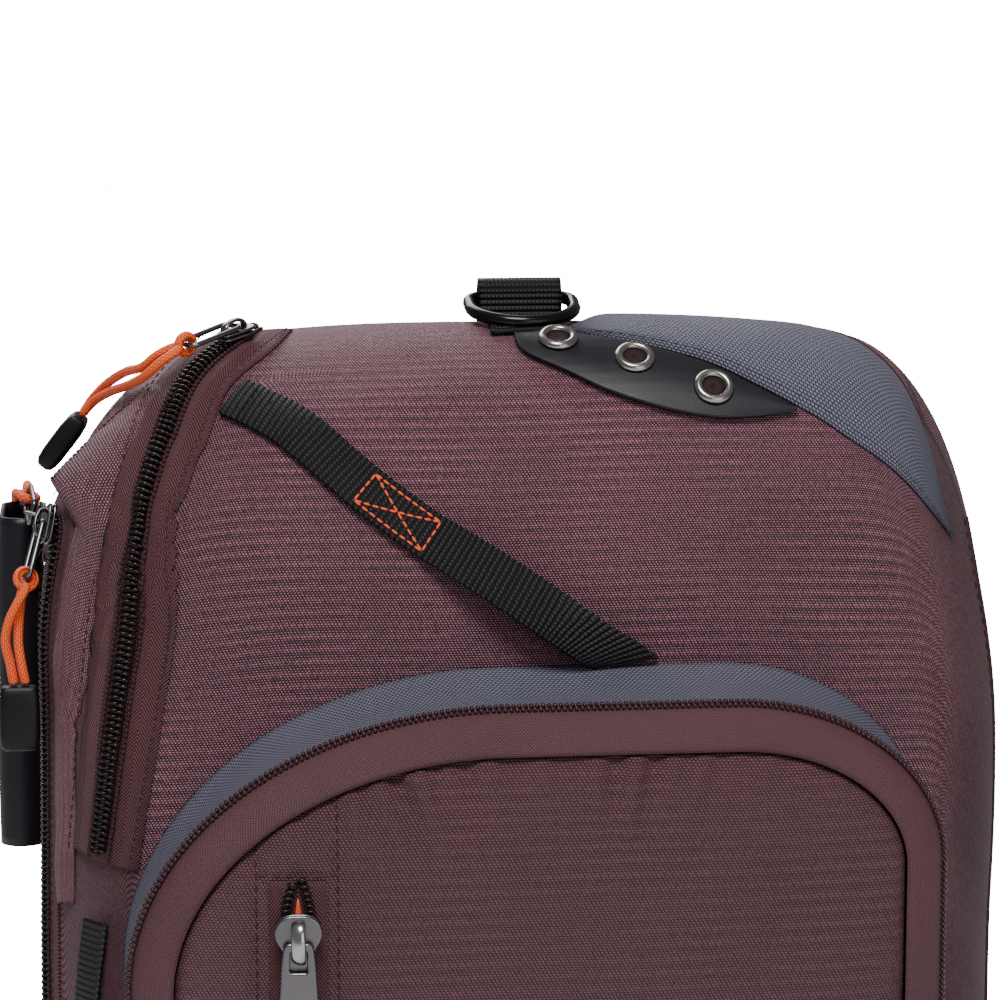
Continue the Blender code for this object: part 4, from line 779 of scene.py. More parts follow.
# Grey yoke and black leaf-shaped tab on the shoulder, with three plated eyelets in the tab.
# The yoke is a coarse grey weave with a row of stitches at its lower edge; the tab is smooth coated sheet.
TAB_LOW = ((-0.029, 0.934), (-0.012, 0.916), (0.068, 0.894), (0.148, 0.873), (0.251, 0.856), (0.352, 0.847),
           (0.430, 0.847), (0.490, 0.850), (0.530, 0.853))
TAB_HIGH = ((-0.025, 0.938), (0.053, 0.940), (0.110, 0.934), (0.199, 0.924), (0.283, 0.911), (0.368, 0.896),
            (0.448, 0.876), (0.530, 0.856))
YOKE_LOW = ((0.095, 0.944), (0.199, 0.930), (0.283, 0.917), (0.368, 0.902), (0.448, 0.882), (0.534, 0.860),
            (0.580, 0.848), (0.644, 0.828), (0.712, 0.810), (0.760, 0.795), (0.806, 0.779), (0.850, 0.765))
YOKE_HIGH = ((0.095, 0.947), (0.200, 0.982), (0.350, 1.004), (0.500, 0.996), (0.620, 0.967), (0.700, 0.938),
             (0.765, 0.905), (0.798, 0.868), (0.816, 0.830), (0.828, 0.792), (0.850, 0.768))
EYELETS = ((0.060, 0.927), (0.209, 0.903), (0.361, 0.873))
grid = patch(YOKE_LOW, YOKE_HIGH, 110, 40, lambda s, c: 0.0004 + 0.0016 * min(1.0, 9 * min(s, 1 - s)) ** 0.5)
sheet("yoke", grid, metres(grid), GREY_CLOTH, 0.0011, ("yoke_panel",), outward=grid - CORE)
yoke_up = normals_of(grid, False)
yoke_up *= np.sign((yoke_up * (grid - CORE)).sum(axis=-1, keepdims=True))
stitch_line("yoke_stitch", grid[3, 6:-4], yoke_up[3, 6:-4], GREY_THREAD, 0.0021, 0.0008, 0.0005)
edge_up = yoke_up[-2, 62:]
tube("yoke_side_seam", grid[-1, 62:] + edge_up * 0.0002, 0.0007, MAROON_THREAD, sides=10)
grid = patch(TAB_LOW, TAB_HIGH, 120, 30, lambda s, c: 0.0022 + 0.0004 * math.sin(math.pi * s))
tab_tree = tree_of(grid, False)
sheet("leaf_tab", grid, metres(grid), BLACK_SHEET, 0.0013, ("eyelet_tab",), outward=grid - CORE)


def turned(profile, sides=48):
    """A mesh turned about Z from radius and height pairs."""
    turns = np.linspace(0, math.tau, sides, endpoint=False)
    grid = np.array([[(r * math.cos(t), r * math.sin(t), z) for t in turns]
                     for r, z in profile + profile[:1]])
    reach, middle = np.array(profile).mean(axis=0)
    spokes = grid - np.array([[(reach * math.cos(t), reach * math.sin(t), middle) for t in turns]])
    return bare_mesh("turned", grid, spokes)


eyelet_profile = [(0.0031, -0.0006), (0.0030, 0.0002), (0.0031, 0.0007), (0.0035, 0.0011), (0.0041, 0.0013),
                  (0.0047, 0.0011), (0.0052, 0.0006), (0.0054, 0.0001), (0.0054, -0.0002)]
eyelet_mesh = turned(eyelet_profile)
# A dark brown disc in each eyelet is painted shade: it stands for the body cloth seen in shadow through the
# hole, since the tab under it is whole.
hole_shade_disc = turned([(0.0001, -0.0001), (0.0031, -0.0001), (0.0031, 0.0001), (0.0001, 0.0001)], 32)
HOLE_SHADE = plain("eyelet_hole_shade", "black_sheet", (0.020, 0.009, 0.010), 0.8)
for number, spot in enumerate(EYELETS, start=1):
    place, _ = pattern_point(*spot)
    near, normal = touch(tab_tree, place)
    seat = frame_at(near + normal * 0.0003, (1, 0, 0), normal)
    repeated(f"eyelet_ring_{number}", eyelet_mesh, [seat], NICKEL, stands_for=(f"eyelet_{number}",))
    repeated(f"eyelet_dark_{number}", hole_shade_disc, [seat], HOLE_SHADE)

# Tool webbing: a ribbed black strap across the front, to hold small tools.
# It is sewn flat at its upper half, ends there in an orange box and cross, and bows open down to the pocket.
WEBBING = ((-0.608, 0.879), (-0.497, 0.848), (-0.344, 0.791), (-0.190, 0.746), (0.015, 0.696),
           (0.128, 0.670), (0.160, 0.662))
WEBBING_WIDE, WEBBING_SEWN, WEBBING_BOW = 0.0125, 0.52, 0.0062
BOX_FIRST, BOX_LAST, BOX_SIDE = 0.345, 0.515, 0.72
route = [tuple(pattern_point(*p)[0]) for p in WEBBING]


def webbing_lift(side, share):
    opened = min(max((share - WEBBING_SEWN) / (1 - WEBBING_SEWN), 0), 1)
    return 0.0023 - 0.0003 * abs(side) ** 3 + WEBBING_BOW * math.sin(math.pi * opened) ** 0.8


grid, normals = ribbon(route, WEBBING_WIDE, 220, 17, BODY_TREE, webbing_lift, slant=0.9)
sheet("webbing_strap", grid, metres(grid), WEBBING_CLOTH, 0.0015, ("tool_webbing",), outward=normals)
webbing_long = length_of(grid[8])


def on_webbing(along, side):
    """A point and normal of the webbing, by metres along it and a share of its half width."""
    c = min(max(along / webbing_long, 0), 1) * (grid.shape[1] - 1)
    r = (side + 1) / 2 * (grid.shape[0] - 1)
    c0, r0 = min(int(c), grid.shape[1] - 2), min(int(r), grid.shape[0] - 2)
    spot = grid[r0, c0] * (1 - (c - c0)) + grid[r0, c0 + 1] * (c - c0)
    below = grid[r0 + 1, c0] * (1 - (c - c0)) + grid[r0 + 1, c0 + 1] * (c - c0)
    return spot * (1 - (r - r0)) + below * (r - r0), normals[r0, c0]


box_first, box_last = webbing_long * BOX_FIRST, webbing_long * BOX_LAST
corners = ((box_first, -BOX_SIDE), (box_last, -BOX_SIDE), (box_last, BOX_SIDE), (box_first, BOX_SIDE))
for number, (one, two) in enumerate(((0, 1), (1, 2), (2, 3), (3, 0), (0, 2), (1, 3))):
    spots = [on_webbing(*(np.array(corners[one]) * (1 - s) + np.array(corners[two]) * s))
             for s in np.linspace(0, 1, 30)]
    stitch_line(f"box_stitch_{number}", *zip(*spots), ORANGE_THREAD, 0.0020, 0.0002, 0.00068, 0.0001)
spots = [on_webbing(webbing_long * 0.035, s) for s in np.linspace(-0.9, 0.9, 12)]
stitch_line("webbing_end_stitch", *zip(*spots), MAROON_THREAD, 0.0016, 0.0006, 0.0005)

# Zips: the main zip curves down the front and the side zip over the left side.
# Each is a herringbone tape with a doubled plastic coil down its middle, its turns set one by one,
# and a beaded edge and a row of stitches on each half.
MAIN_ZIP = ((-0.56, 0.975), (-0.597, 0.949), (-0.691, 0.903), (-0.745, 0.848), (-0.784, 0.796),
            (-0.802, 0.753), (-0.832, 0.680), (-0.862, 0.601), (-0.884, 0.545))
SIDE_ZIP = ((-0.10, 0.868), (-0.30, 0.878), (-0.47, 0.872), (-0.53, 0.840), (-0.56, 0.76),
            (-0.53, 0.62), (-0.53, 0.25))
ZIP_PITCH, ZIP_EDGE, SEAM_INSET = 0.00165, 0.0034, 0.0014


def coil_turn(reach, wire, high):
    """One turn of a zip coil: a flat loop of wire across the chain."""
    path = [(reach * (0.5 * math.cos(t) + 0.32), 0.00022 * math.sin(t), high * (0.5 + 0.5 * math.sin(t)))
            for t in np.linspace(0, math.tau, 12, endpoint=False)]
    rings = tube_grid(path, wire, 6, closed=True)
    rings = np.concatenate([rings, rings[:1]])
    return bare_mesh("coil_turn", rings, rings - rings.mean(axis=1)[:, None])


def zip_chain(name, points, normals, pitch, turn, finish, stands_for=(), split=None):
    """Both halves of a coil along a row of points; split gives each half's distance from the middle."""
    points, normals = np.array(points), np.array(normals)
    along = distances(points)
    count = int(along[-1] / pitch)
    frames = []
    for side in (-1, 1):
        wanted = (np.arange(count) + (0.5 if side > 0 else 0.0)) * pitch
        at, up = sampled(points, along, wanted), unit(sampled(normals, along, wanted))
        way = unit(np.gradient(at, axis=0)) * side
        for spot, normal, ahead, far in zip(at, up, way, wanted / along[-1]):
            apart = split(far) if split else 0.0
            frames.append(frame_at(spot + np.cross(ahead, normal) * apart, ahead, normal))
    repeated(name, turn, frames, finish, stands_for=stands_for)


def laid_zip(name, route, tape_wide, columns, turn):
    tape, coil = f"{name}_zip_tape", f"{name}_zip_coil"
    grid, normals = ribbon(route, tape_wide, columns, 13, BODY_TREE,
                           lambda s, c: 0.0012 - 0.0004 * abs(s) ** 4)
    sheet(f"{name}_tape_cloth", grid, metres(grid), TAPE_CLOTH, 0.0008, (tape,), outward=normals)
    middle, up = grid[6], normals[6]
    zip_chain(f"{name}_coil_turns", middle + up * 0.0001, up, ZIP_PITCH, turn, COIL_PLASTIC, (coil,))
    across = unit(grid[7] - grid[5])
    for label, way in (("left", -1), ("right", 1)):
        corded_edge(f"{name}_edge_{label}", middle + across * way * ZIP_EDGE + up * 0.0003, up)
        seam = middle + across * way * (tape_wide / 2 - SEAM_INSET) + up * 0.0001
        stitch_line(f"{name}_seam_{label}", seam, up, MAROON_THREAD, 0.0018, 0.0008, 0.0005)


main_route = [tuple(pattern_point(*p)[0]) for p in MAIN_ZIP]
laid_zip("main", main_route, 0.024, 150, coil_turn(0.0027, 0.00043, 0.0016))
side_route = []
for depth, high in SIDE_ZIP:
    place = BODY_TREE.ray_cast(Vector((-1.0, depth * FRONT, high * HEIGHT)), Vector((1, 0, 0)))[0]
    side_route.append(tuple(place))
laid_zip("side", side_route, 0.020, 200, coil_turn(0.0026, 0.00042, 0.0015))

# Front pocket: a grey gusset, a maroon zip tape rolled over its edge with a beaded coil, and a puffed face.
# The face is the smoother brown weave, gathered where it is sewn to the tape and top-stitched round its zip.
POCKET_LEFT, POCKET_RIGHT, POCKET_LOW, POCKET_HIGH, POCKET_FOOT = 0.1085, 0.0995, 0.024, 0.3052, 0.024
POCKET_L, POCKET_R, FLARE, RISE = (0.095, 0.070), (0.055, 0.042), 0.0010, 0.0060
TRIM_DEEP, TAPE_DEEP, TAPE_WIDE, FACE_DEEP = 0.022, 0.009, 0.0110, 0.007


def pocket_ring(inset, stand):
    shoulder_l, shoulder_r = (tuple(reach - inset for reach in pair) for pair in (POCKET_L, POCKET_R))
    ring = outline(POCKET_LEFT - inset, POCKET_RIGHT - inset, POCKET_LOW + inset, POCKET_HIGH - inset,
                   POCKET_FOOT, shoulder_l, shoulder_r, 0.0)
    return np.insert(ring, 1, -FRONT - stand, axis=1)


base = outline(POCKET_LEFT + FLARE, POCKET_RIGHT + FLARE, POCKET_LOW - FLARE, POCKET_HIGH + RISE, POCKET_FOOT,
               (POCKET_L[0], POCKET_L[1] + RISE), (POCKET_R[0], POCKET_R[1] + RISE), 0.0)
base_depth = [BODY_TREE.ray_cast(Vector((a, -1, b)), Vector((0, 1, 0)))[0].y for a, b in base]
base = np.insert(base, 1, base_depth, axis=1)
edge = pocket_ring(0.0, TRIM_DEEP)
TRIM_ROWS = 12
trim_shares = np.linspace(0, 1, TRIM_ROWS)
trim = np.array([base + (edge - base) * s for s in trim_shares])
sag = np.sin(np.pi * trim_shares)[:, None]
trim += normals_of(trim, True) * (-0.0012 * sag + 0.5 * waves(trim, 0.03, 0.0006, 5) * sag)[..., None]
sheet("pocket_gusset", trim, metres(trim, 0), GREY_CLOTH, 0.0012, ("pocket_trim",), closed=True)

roll = np.array([pocket_ring(TAPE_WIDE * (1 - math.cos(t)), TRIM_DEEP + TAPE_DEEP * math.sin(t))
                 for t in np.linspace(0, 1, 14) * math.pi / 2])
sheet("pocket_tape_cloth", roll, metres(roll, 0), POCKET_TAPE, 0.0010, ("pocket_zip_tape",), closed=True)
foot_end = (FOOT_STEPS + ROUND_STEPS) * FINE
coil_ring = roll[2][foot_end:-foot_end]
coil_up = normals_of(roll, True)[2][foot_end:-foot_end]
BEAD_LONG, BEAD_WIDE, BEAD_HIGH = 0.0016, 0.00125, 0.0013
bead = pill(BEAD_WIDE, BEAD_LONG, BEAD_HIGH)
bead.transform(Matrix.Translation((BEAD_LONG * 0.55, 0, BEAD_HIGH * 0.3)))
POCKET_PITCH = 0.00150
zip_chain("pocket_coil_turns", coil_ring + coil_up * 0.0002, coil_up, POCKET_PITCH, bead, COIL_BEAD,
          ("pocket_zip_coil",))

seam = pocket_ring(TAPE_WIDE, TRIM_DEEP + TAPE_DEEP)
centre = seam.mean(axis=0)
shares = np.r_[np.linspace(1.0, 0.86, 22), np.linspace(0.85, 0.03, 40)]
face = np.array([centre + (seam - centre) * s for s in shares])
face[..., 1] -= FACE_DEEP * (1 - shares[:, None] ** 2) ** 0.7
from_seam = np.linalg.norm(face - seam, axis=-1)
arc_at = distances(seam)
GATHER_SEED, GATHER_COUNT, GATHER_HIGH, GATHER_LONG = 11, 26, 0.0029, 0.010
PUFF_HIGH, PUFF_SUNK, PUFF_LONG = 0.0031, 0.0026, 0.0026
chance = np.random.default_rng(GATHER_SEED)
gathers = np.zeros(len(seam))
for _ in range(GATHER_COUNT):
    turns = arc_at * math.tau / chance.uniform(0.008, 0.024) + chance.uniform(0, 6.3)
    gathers += np.sin(turns) * chance.uniform(0.2, 1)
gathers *= (0.5 + 0.5 * np.sin(arc_at * 31 + 1.0)) / 4
puff = PUFF_HIGH * (1 - np.exp(-from_seam / PUFF_LONG)) - PUFF_SUNK
fading = np.exp(-from_seam / GATHER_LONG) * (1 - np.exp(-from_seam / 0.0012))
face[..., 1] -= puff + GATHER_HIGH * gathers * fading
face[..., 1] -= waves(face, 0.055, 0.0009, 8) * (1 - np.exp(-from_seam / 0.02))
WELT_LEFT, WELT_RIGHT, WELT_TOP, WELT_LOW = -0.0768, -0.0566, 0.2662, 0.110
for edge_x in (WELT_LEFT, WELT_RIGHT):
    face[..., 1] += 0.0007 * np.exp(-((face[..., 0] - edge_x) / 0.0014) ** 2)
inside = np.clip((face[..., 0] - WELT_LEFT) / 0.001, 0, 1)
inside *= np.clip((WELT_RIGHT - face[..., 0]) / 0.001, 0, 1)
face[..., 1] += 0.0006 * np.exp(-((face[..., 2] - WELT_TOP) / 0.0012) ** 2) * inside
sheet("pocket_face_cloth", face, face[..., [0, 2]], FACE_CLOTH, 0.0012, ("pocket_face",),
      closed=True, capped=True)
FACE_TREE = tree_of(face, True, True)
FACE_RIM = -0.105


def face_spot(across, up):
    """A place on the pocket's face; near its rounded rim, where the ray misses, the nearest one."""
    place = FACE_TREE.ray_cast(Vector((across, -1, up)), Vector((0, 1, 0)))[0]
    return touch(FACE_TREE, place or Vector((across, FACE_RIM, up)))


WELTS = (
    # the two ends of each row of stitches, across and up
    ((WELT_LEFT, 0.284), (WELT_LEFT, WELT_LOW)),
    ((WELT_RIGHT, 0.290), (WELT_RIGHT, WELT_LOW)),
    ((WELT_LEFT, WELT_TOP), (WELT_RIGHT, WELT_TOP)),
)
for number, (one, two) in enumerate(WELTS):
    spots = [face_spot(*(np.array(one) * (1 - s) + np.array(two) * s)) for s in np.linspace(0, 1, 60)]
    stitch_line(f"welt_stitch_{number}", *zip(*spots), MAROON_THREAD, 0.0020, 0.0010, 0.0005, 0.0001)

# Face zip: a short zip let into the pocket's face, herringbone tape with a dark plastic coil.
# Its coil parts above the slider and shows a sliver of the orange lining.
ZIP_X, ZIP_TOP, ZIP_LOW, SLIDER_Z = -0.0665, 0.2650, 0.120, 0.2500
rows_up = [tuple(face_spot(ZIP_X, z)[0]) for z in np.linspace(ZIP_TOP, ZIP_LOW, 40)]
grid, normals = ribbon(rows_up, 0.0145, 110, 9, FACE_TREE, lambda s, c: 0.0008 + 0.0002 * (1 - s * s))
sheet("face_zip_cloth", grid, metres(grid), TAPE_CLOTH, 0.0007, ("face_zip_tape",), outward=normals)
middle, up = grid[4], normals[4]
cut = int(len(middle) * (ZIP_TOP - SLIDER_Z - 0.004) / (ZIP_TOP - ZIP_LOW))
raised = middle + up * 0.0002
face_turn = coil_turn(0.0021, 0.0004, 0.0015)
zip_chain("face_coil_open", raised[: cut + 1], up[: cut + 1], POCKET_PITCH, face_turn, COIL_DARK,
          split=lambda s: 0.0004 + 0.0022 * math.sin(math.pi * min(s, 1.0) * 0.55))
zip_chain("face_coil_turns", raised[cut:], up[cut:], POCKET_PITCH, face_turn, COIL_DARK, ("face_zip_coil",))
gap = [Vector(middle[i]) + Vector(up[i]) * 0.0004 for i in range(int(cut * 0.45), cut + 1)]
LINING_HALF = 0.0013
sliver = np.array([[p + Vector((side * LINING_HALF * (0.15 + k / len(gap)), 0, 0)) for k, p in enumerate(gap)]
                   for side in (-1, 0, 1)])
forward = np.tile((0.0, -1.0, 0.0), (*sliver.shape[:2], 1))
sheet("lining_sliver", sliver, metres(sliver), ORANGE_LINING, 0.0003, outward=forward)


# Sliders, wire pulls and cords of the main and side zips: cast plates, a bridge and a bent wire, plated dark.
# Each pull carries two strands of orange braid, which run from a hitch to a black moulded end.
def plate(name, points, thick, frame_of, finish=GUNMETAL, body=PACK, stands_for=(), soft=0.0004, hole=None):
    """A flat plate cut to an outline, with rounded edges and an optional window."""
    curve = bpy.data.curves.new(name, "CURVE")
    curve.dimensions, curve.fill_mode = "2D", "BOTH"
    curve.extrude, curve.bevel_depth, curve.bevel_resolution = thick / 2 - soft, soft, 3
    for loop in (points, hole):
        if loop is None:
            continue
        spline = curve.splines.new("POLY")
        spline.points.add(len(loop) - 1)
        for point, (a, b) in zip(spline.points, loop):
            point.co = (a, b, 0, 1)
        spline.use_cyclic_u = True
    curve.offset = -soft
    made = bpy.data.objects.new(name, curve)
    bpy.context.scene.collection.objects.link(made)
    graph = bpy.context.evaluated_depsgraph_get()
    graph.update()
    mesh = bpy.data.meshes.new_from_object(made.evaluated_get(graph))
    bpy.data.objects.remove(made, do_unlink=True)
    mesh.transform(frame_of)
    return finish_object(name, mesh, finish, body, stands_for)


def rounded(points, radius, steps=6):
    """The corners of a closed outline cut to arcs."""
    made = []
    for i, corner in enumerate(points):
        before, after = np.array(points[i - 1]) - corner, np.array(points[(i + 1) % len(points)]) - corner
        cut_a = corner + unit(before) * min(radius, np.linalg.norm(before) / 2)
        cut_b = corner + unit(after) * min(radius, np.linalg.norm(after) / 2)
        for t in np.linspace(0, 1, steps):
            made.append(tuple((1 - t) ** 2 * cut_a + 2 * t * (1 - t) * np.array(corner) + t * t * cut_b))
    return made


def arch(name, seat, wide, long, high, wire, finish):
    """The slider's bridge: a bent bar over its back."""
    path = [seat @ Vector((0, long / 2 * math.cos(t), high * max(0.0, math.sin(t)) ** 0.7))
            for t in np.linspace(math.pi, 0, 18)]
    grid = tube_grid([tuple(p) for p in path], wide / 2, 12, squash=wire)
    finish_object(name, bare_mesh(name, grid, grid - grid.mean(axis=1)[:, None]), finish, PACK)


def lifted(seat, height, ahead=0.0):
    return seat @ Matrix.Translation((0, ahead, height))


PULLS = (
    # name, anchor on its coil, pull's far end from there, slider's length way, slider's outward way
    ("main", (-0.0773, -0.0292, 0.3926), (-0.0132, -0.0088, -0.0006),
     (0.74, 0.64, 0.22), (-0.15, -0.20, 0.97)),
    ("side", (-0.1262, -0.0367, 0.3446), (-0.0068, -0.0088, -0.0128),
     (0.25, 0.47, 0.84), (-0.94, -0.22, 0.26)),
    ("rear", (-0.1286, -0.0067, 0.3429), (-0.0046, 0.0157, 0.0031),
     (0.10, -0.97, 0.10), (-0.97, 0.03, 0.25)),
)
CORDS = {
    # each strand's route from its pull's anchor, hitch first
    "main_cord_a": ((-0.0175, -0.0098, -0.0016), (-0.0211, -0.0093, -0.0036), (-0.0247, -0.0058, -0.0068),
                    (-0.0287, 0.0052, -0.0090), (-0.0333, 0.0172, -0.0130), (-0.0375, 0.0242, -0.0178),
                    (-0.0403, 0.0262, -0.0220)),
    "main_cord_b": ((-0.0160, -0.0126, -0.0022), (-0.0199, -0.0130, -0.0048), (-0.0239, -0.0098, -0.0086),
                    (-0.0283, 0.0002, -0.0121), (-0.0329, 0.0122, -0.0150), (-0.0373, 0.0202, -0.0184),
                    (-0.0407, 0.0224, -0.0222)),
    "side_cord_a": ((-0.0072, -0.0119, -0.0154), (-0.0090, -0.0133, -0.0184), (-0.0113, -0.0138, -0.0231),
                    (-0.0123, -0.0133, -0.0286), (-0.0113, -0.0128, -0.0341), (-0.0104, -0.0128, -0.0396)),
    "side_cord_b": ((-0.0081, -0.0095, -0.0166), (-0.0084, -0.0098, -0.0196), (-0.0089, -0.0108, -0.0246),
                    (-0.0090, -0.0118, -0.0296), (-0.0083, -0.0128, -0.0346), (-0.0074, -0.0128, -0.0396)),
    "rear_cord_a": ((-0.0046, 0.0197, 0.0048), (-0.0050, 0.0287, 0.0045), (-0.0054, 0.0387, 0.0031),
                    (-0.0057, 0.0477, -0.0004), (-0.0058, 0.0542, -0.0074), (-0.0058, 0.0567, -0.0179)),
    "rear_cord_b": ((-0.0046, 0.0197, 0.0019), (-0.0066, 0.0287, 0.0016), (-0.0084, 0.0387, 0.0009),
                    (-0.0089, 0.0477, -0.0009), (-0.0090, 0.0539, -0.0079), (-0.0090, 0.0567, -0.0179)),
}
ENDS = {
    # the moulded end's mouth and tip from the anchor, and its wide way
    "main": ((-0.0407, 0.0241, -0.0227), (-0.0507, 0.0261, -0.0359), (0.10, 1.0, 0.0)),
    "side": ((-0.0090, -0.0133, -0.0400), (-0.0090, -0.0133, -0.0570), (1.0, 0.0, 0.0)),
    "rear": ((-0.0074, 0.0567, -0.0183), (-0.0074, 0.0567, -0.0353), (1.0, 0.0, 0.0)),
}
CORD_RADIUS, HITCH_RADIUS, PULL_WIRE, PULL_WIDE = 0.00125, 0.00225, 0.0007, 0.0066
END_HALF_WIDE, END_HALF_THICK, END_LONG, END_SQUARE = 0.00525, 0.0031, 0.017, 0.45
END_SECTIONS = (
    # share of the length, share of the width, share of the thickness
    (0.0, 0.80, 0.55), (0.01, 0.86, 0.66), (0.05, 0.92, 0.78), (0.12, 0.96, 0.90), (0.3, 0.99, 1.0),
    (0.5, 1.0, 1.0), (0.75, 1.0, 0.98), (0.90, 0.97, 0.90), (0.97, 0.88, 0.72), (1.0, 0.74, 0.50),
)
slider_outline = rounded([(-0.0022, -0.0052), (0.0022, -0.0052), (0.0039, 0.0020), (0.0036, 0.0052),
                          (-0.0036, 0.0052), (-0.0039, 0.0020)], 0.0014)
core_outline = [(a * 0.55, b * 0.8) for a, b in slider_outline]


def squared(value):
    return math.copysign(abs(value) ** END_SQUARE, value)


def closing(ring):
    """A ring drawn in to nearly a point, which closes a moulded end."""
    return ring.mean(axis=1, keepdims=True) + (ring - ring.mean(axis=1, keepdims=True)) * 0.02


for name, anchor, far, along, normal in PULLS:
    anchor, normal = Vector(anchor), Vector(normal).normalized()
    box_low, box_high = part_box(f"{name}_slider")
    seat = frame_at((box_low + box_high) / 2 - normal * 0.0024, along, normal)
    plate(f"{name}_slider_base", slider_outline, 0.0009, lifted(seat, 0.0006))
    plate(f"{name}_slider_top", slider_outline, 0.0009, lifted(seat, 0.0019), stands_for=(f"{name}_slider",))
    plate(f"{name}_slider_core", core_outline, 0.0014, lifted(seat, 0.00125), soft=0.0002)
    arch(f"{name}_slider_arch", lifted(seat, 0.0020), 0.0024, 0.0076, 0.0026, 0.45, GUNMETAL)
    knot = anchor + Vector(far)
    start = seat @ Vector((0, 0, 0.0033))
    ahead = (knot - start).normalized()
    across = normal.cross(ahead).normalized()
    long, half, bend = (knot - start).length, PULL_WIDE / 2, PULL_WIDE * 0.25
    path = []
    bends = ((1, bend, -90), (1, long - bend, 0), (-1, long - bend, 90), (-1, bend, 180))
    for side, centre_at, first in bends:
        for t in np.radians(np.linspace(first, first + 90, 9)):
            outwards = side * (half - bend) + bend * math.cos(t)
            path.append(tuple(start + ahead * (centre_at + bend * math.sin(t)) + across * outwards))
    tube(f"{name}_wire_pull", path, PULL_WIRE, GUNMETAL, stands_for=(f"{name}_pull",), closed=True, sides=12)
    over = across.cross(ahead)
    turns = [tuple(knot + (ahead * math.cos(t) + over * math.sin(t)) * HITCH_RADIUS)
             for t in np.linspace(0, math.tau, 40, endpoint=False)]
    hitch = tube(f"{name}_cord_hitch", turns, CORD_RADIUS, ORANGE_CORD,
                 stands_for=(f"{name}_hitch",), closed=True)
    strands = []
    for strand in ("a", "b"):
        route = np.array(CORDS[f"{name}_cord_{strand}"]) + np.array(anchor)
        in_hitch = tuple(np.array(knot) * 0.45 + route[0] * 0.55)
        path = smooth([in_hitch] + [tuple(q) for q in route], 64)
        cord = tube(f"{name}_strand_{strand}", path, CORD_RADIUS, ORANGE_CORD,
                    stands_for=(f"{name}_cord_{strand}",))
        strands.append((cord, path))
    mouth, tip, flat = (Vector(v) for v in ENDS[name])
    down = (tip - mouth).normalized()
    side_way = (flat - down * flat.dot(down)).normalized()
    up_way = side_way.cross(down)
    rings = []
    for share, wide, thick in END_SECTIONS:
        place = anchor + mouth + down * (0.0003 + share * END_LONG)
        rings.append([tuple(place + side_way * (squared(math.cos(t)) * END_HALF_WIDE * wide)
                            + up_way * (squared(math.sin(t)) * END_HALF_THICK * thick))
                      for t in np.linspace(0, math.tau, 40, endpoint=False)])
    rings = np.array(rings)
    rings = np.concatenate([closing(rings[:1]), rings, closing(rings[-1:])])
    mesh = bare_mesh(f"{name}_cord_end", rings, rings - rings.mean(axis=1, keepdims=True))
    end = finish_object(f"{name}_cord_end", mesh, BLACK_MATTE, PACK, (f"{name}_moulded_end",))
    if name == "side":
        continue
    for cord, path in strands:
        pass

# Slider on the pocket's face: a round-shouldered cast plate, plated dark, with its arch in a lighter copy of
# the gunmetal that paints its highlight.
# Its flat pull has a window for the arch and swings on it, as the body face_pull.
joints = {joint["child"]: joint for joint in frame["joints"]}
axis_at, axis_way = (Vector(joints["face_pull"][key]) for key in ("pos_m", "axis"))
face_normal = Vector((0, 0, 1)).cross(axis_way).normalized()
if face_normal.y > 0:
    face_normal = -face_normal
seat = frame_at(axis_at - face_normal * 0.0039, (0, 0, 1), face_normal)
head = rounded([(-0.0026, -0.0072), (0.0026, -0.0072), (0.0034, -0.0020), (0.0060, 0.0018),
                (0.0057, 0.0056), (0.0030, 0.0076), (-0.0030, 0.0076), (-0.0057, 0.0056),
                (-0.0060, 0.0018), (-0.0034, -0.0020)], 0.0022, 8)
plate("face_slider_back", head, 0.0010, lifted(seat, 0.0004))
plate("face_slider_top", head, 0.0011, lifted(seat, 0.0020), stands_for=("face_zip_slider",), soft=0.0005)
arch("face_slider_arch", lifted(seat, 0.0020, 0.0010), 0.0036, 0.0096, 0.0036, 0.42, GUNMETAL_HIGHLIGHT)
pull_shape = rounded([(-0.0036, 0.0012), (0.0036, 0.0012), (0.0042, -0.0040), (0.0055, -0.0270),
                      (0.0040, -0.0292), (-0.0040, -0.0292), (-0.0055, -0.0270), (-0.0042, -0.0040)], 0.0016)
window = rounded([(-0.0020, -0.0008), (0.0020, -0.0008), (0.0022, -0.0062), (-0.0022, -0.0062)], 0.0008)[::-1]
plate("face_pull_plate", pull_shape, 0.0016, Matrix.Translation(axis_at) @ seat.to_3x3().to_4x4(),
      body="face_pull", stands_for=("face_zip_pull",), soft=0.0005, hole=window)

# Ring on top: a glossy black D-ring in the eye of a folded webbing loop, as the body d_ring.
# The loop's ends go into a flat strap of the same webbing, which is sewn over the top.
RING_WIRE, RING_INSIDE, RING_LONG, RING_TILT, RING_BEND = 0.0036, 0.0245, 0.0195, 15.0, 0.004
ring_at = Vector(joints["d_ring"]["pos_m"])
half, bend, tilt = RING_INSIDE / 2 + RING_WIRE / 2, RING_LONG * 0.62, math.radians(RING_TILT)
foot = half - RING_BEND
corner = [(foot + RING_BEND * math.sin(t), RING_BEND - RING_BEND * math.cos(t))
          for t in np.radians((25, 50, 75, 90))]
ring_outline = [(-foot, 0.0), (0.0, 0.0), (foot, 0.0)] + corner
ring_outline += [(half * math.cos(t), RING_LONG - bend + bend * math.sin(t))
                 for t in np.radians(np.linspace(8, 172, 40))]
ring_outline += [(-a, b) for a, b in reversed(corner)]
path = [tuple(ring_at + Vector((a, -b * math.cos(tilt), -b * math.sin(tilt)))) for a, b in ring_outline]
tube("ring_wire", path, RING_WIRE / 2, BLACK_GLOSS, "d_ring", ("d_ring",), sides=24, closed=True)
LOOP_WIDE, LOOP_HIGH, LOOP_WALL, LOOP_SUNK = 0.0225, 0.0090, 0.0015, 0.0034
inner = RING_WIRE / 2 + 0.0003
reach = inner + LOOP_WALL
floor_z = ring_at.z - LOOP_WALL - inner
eye = ring_at.z - floor_z
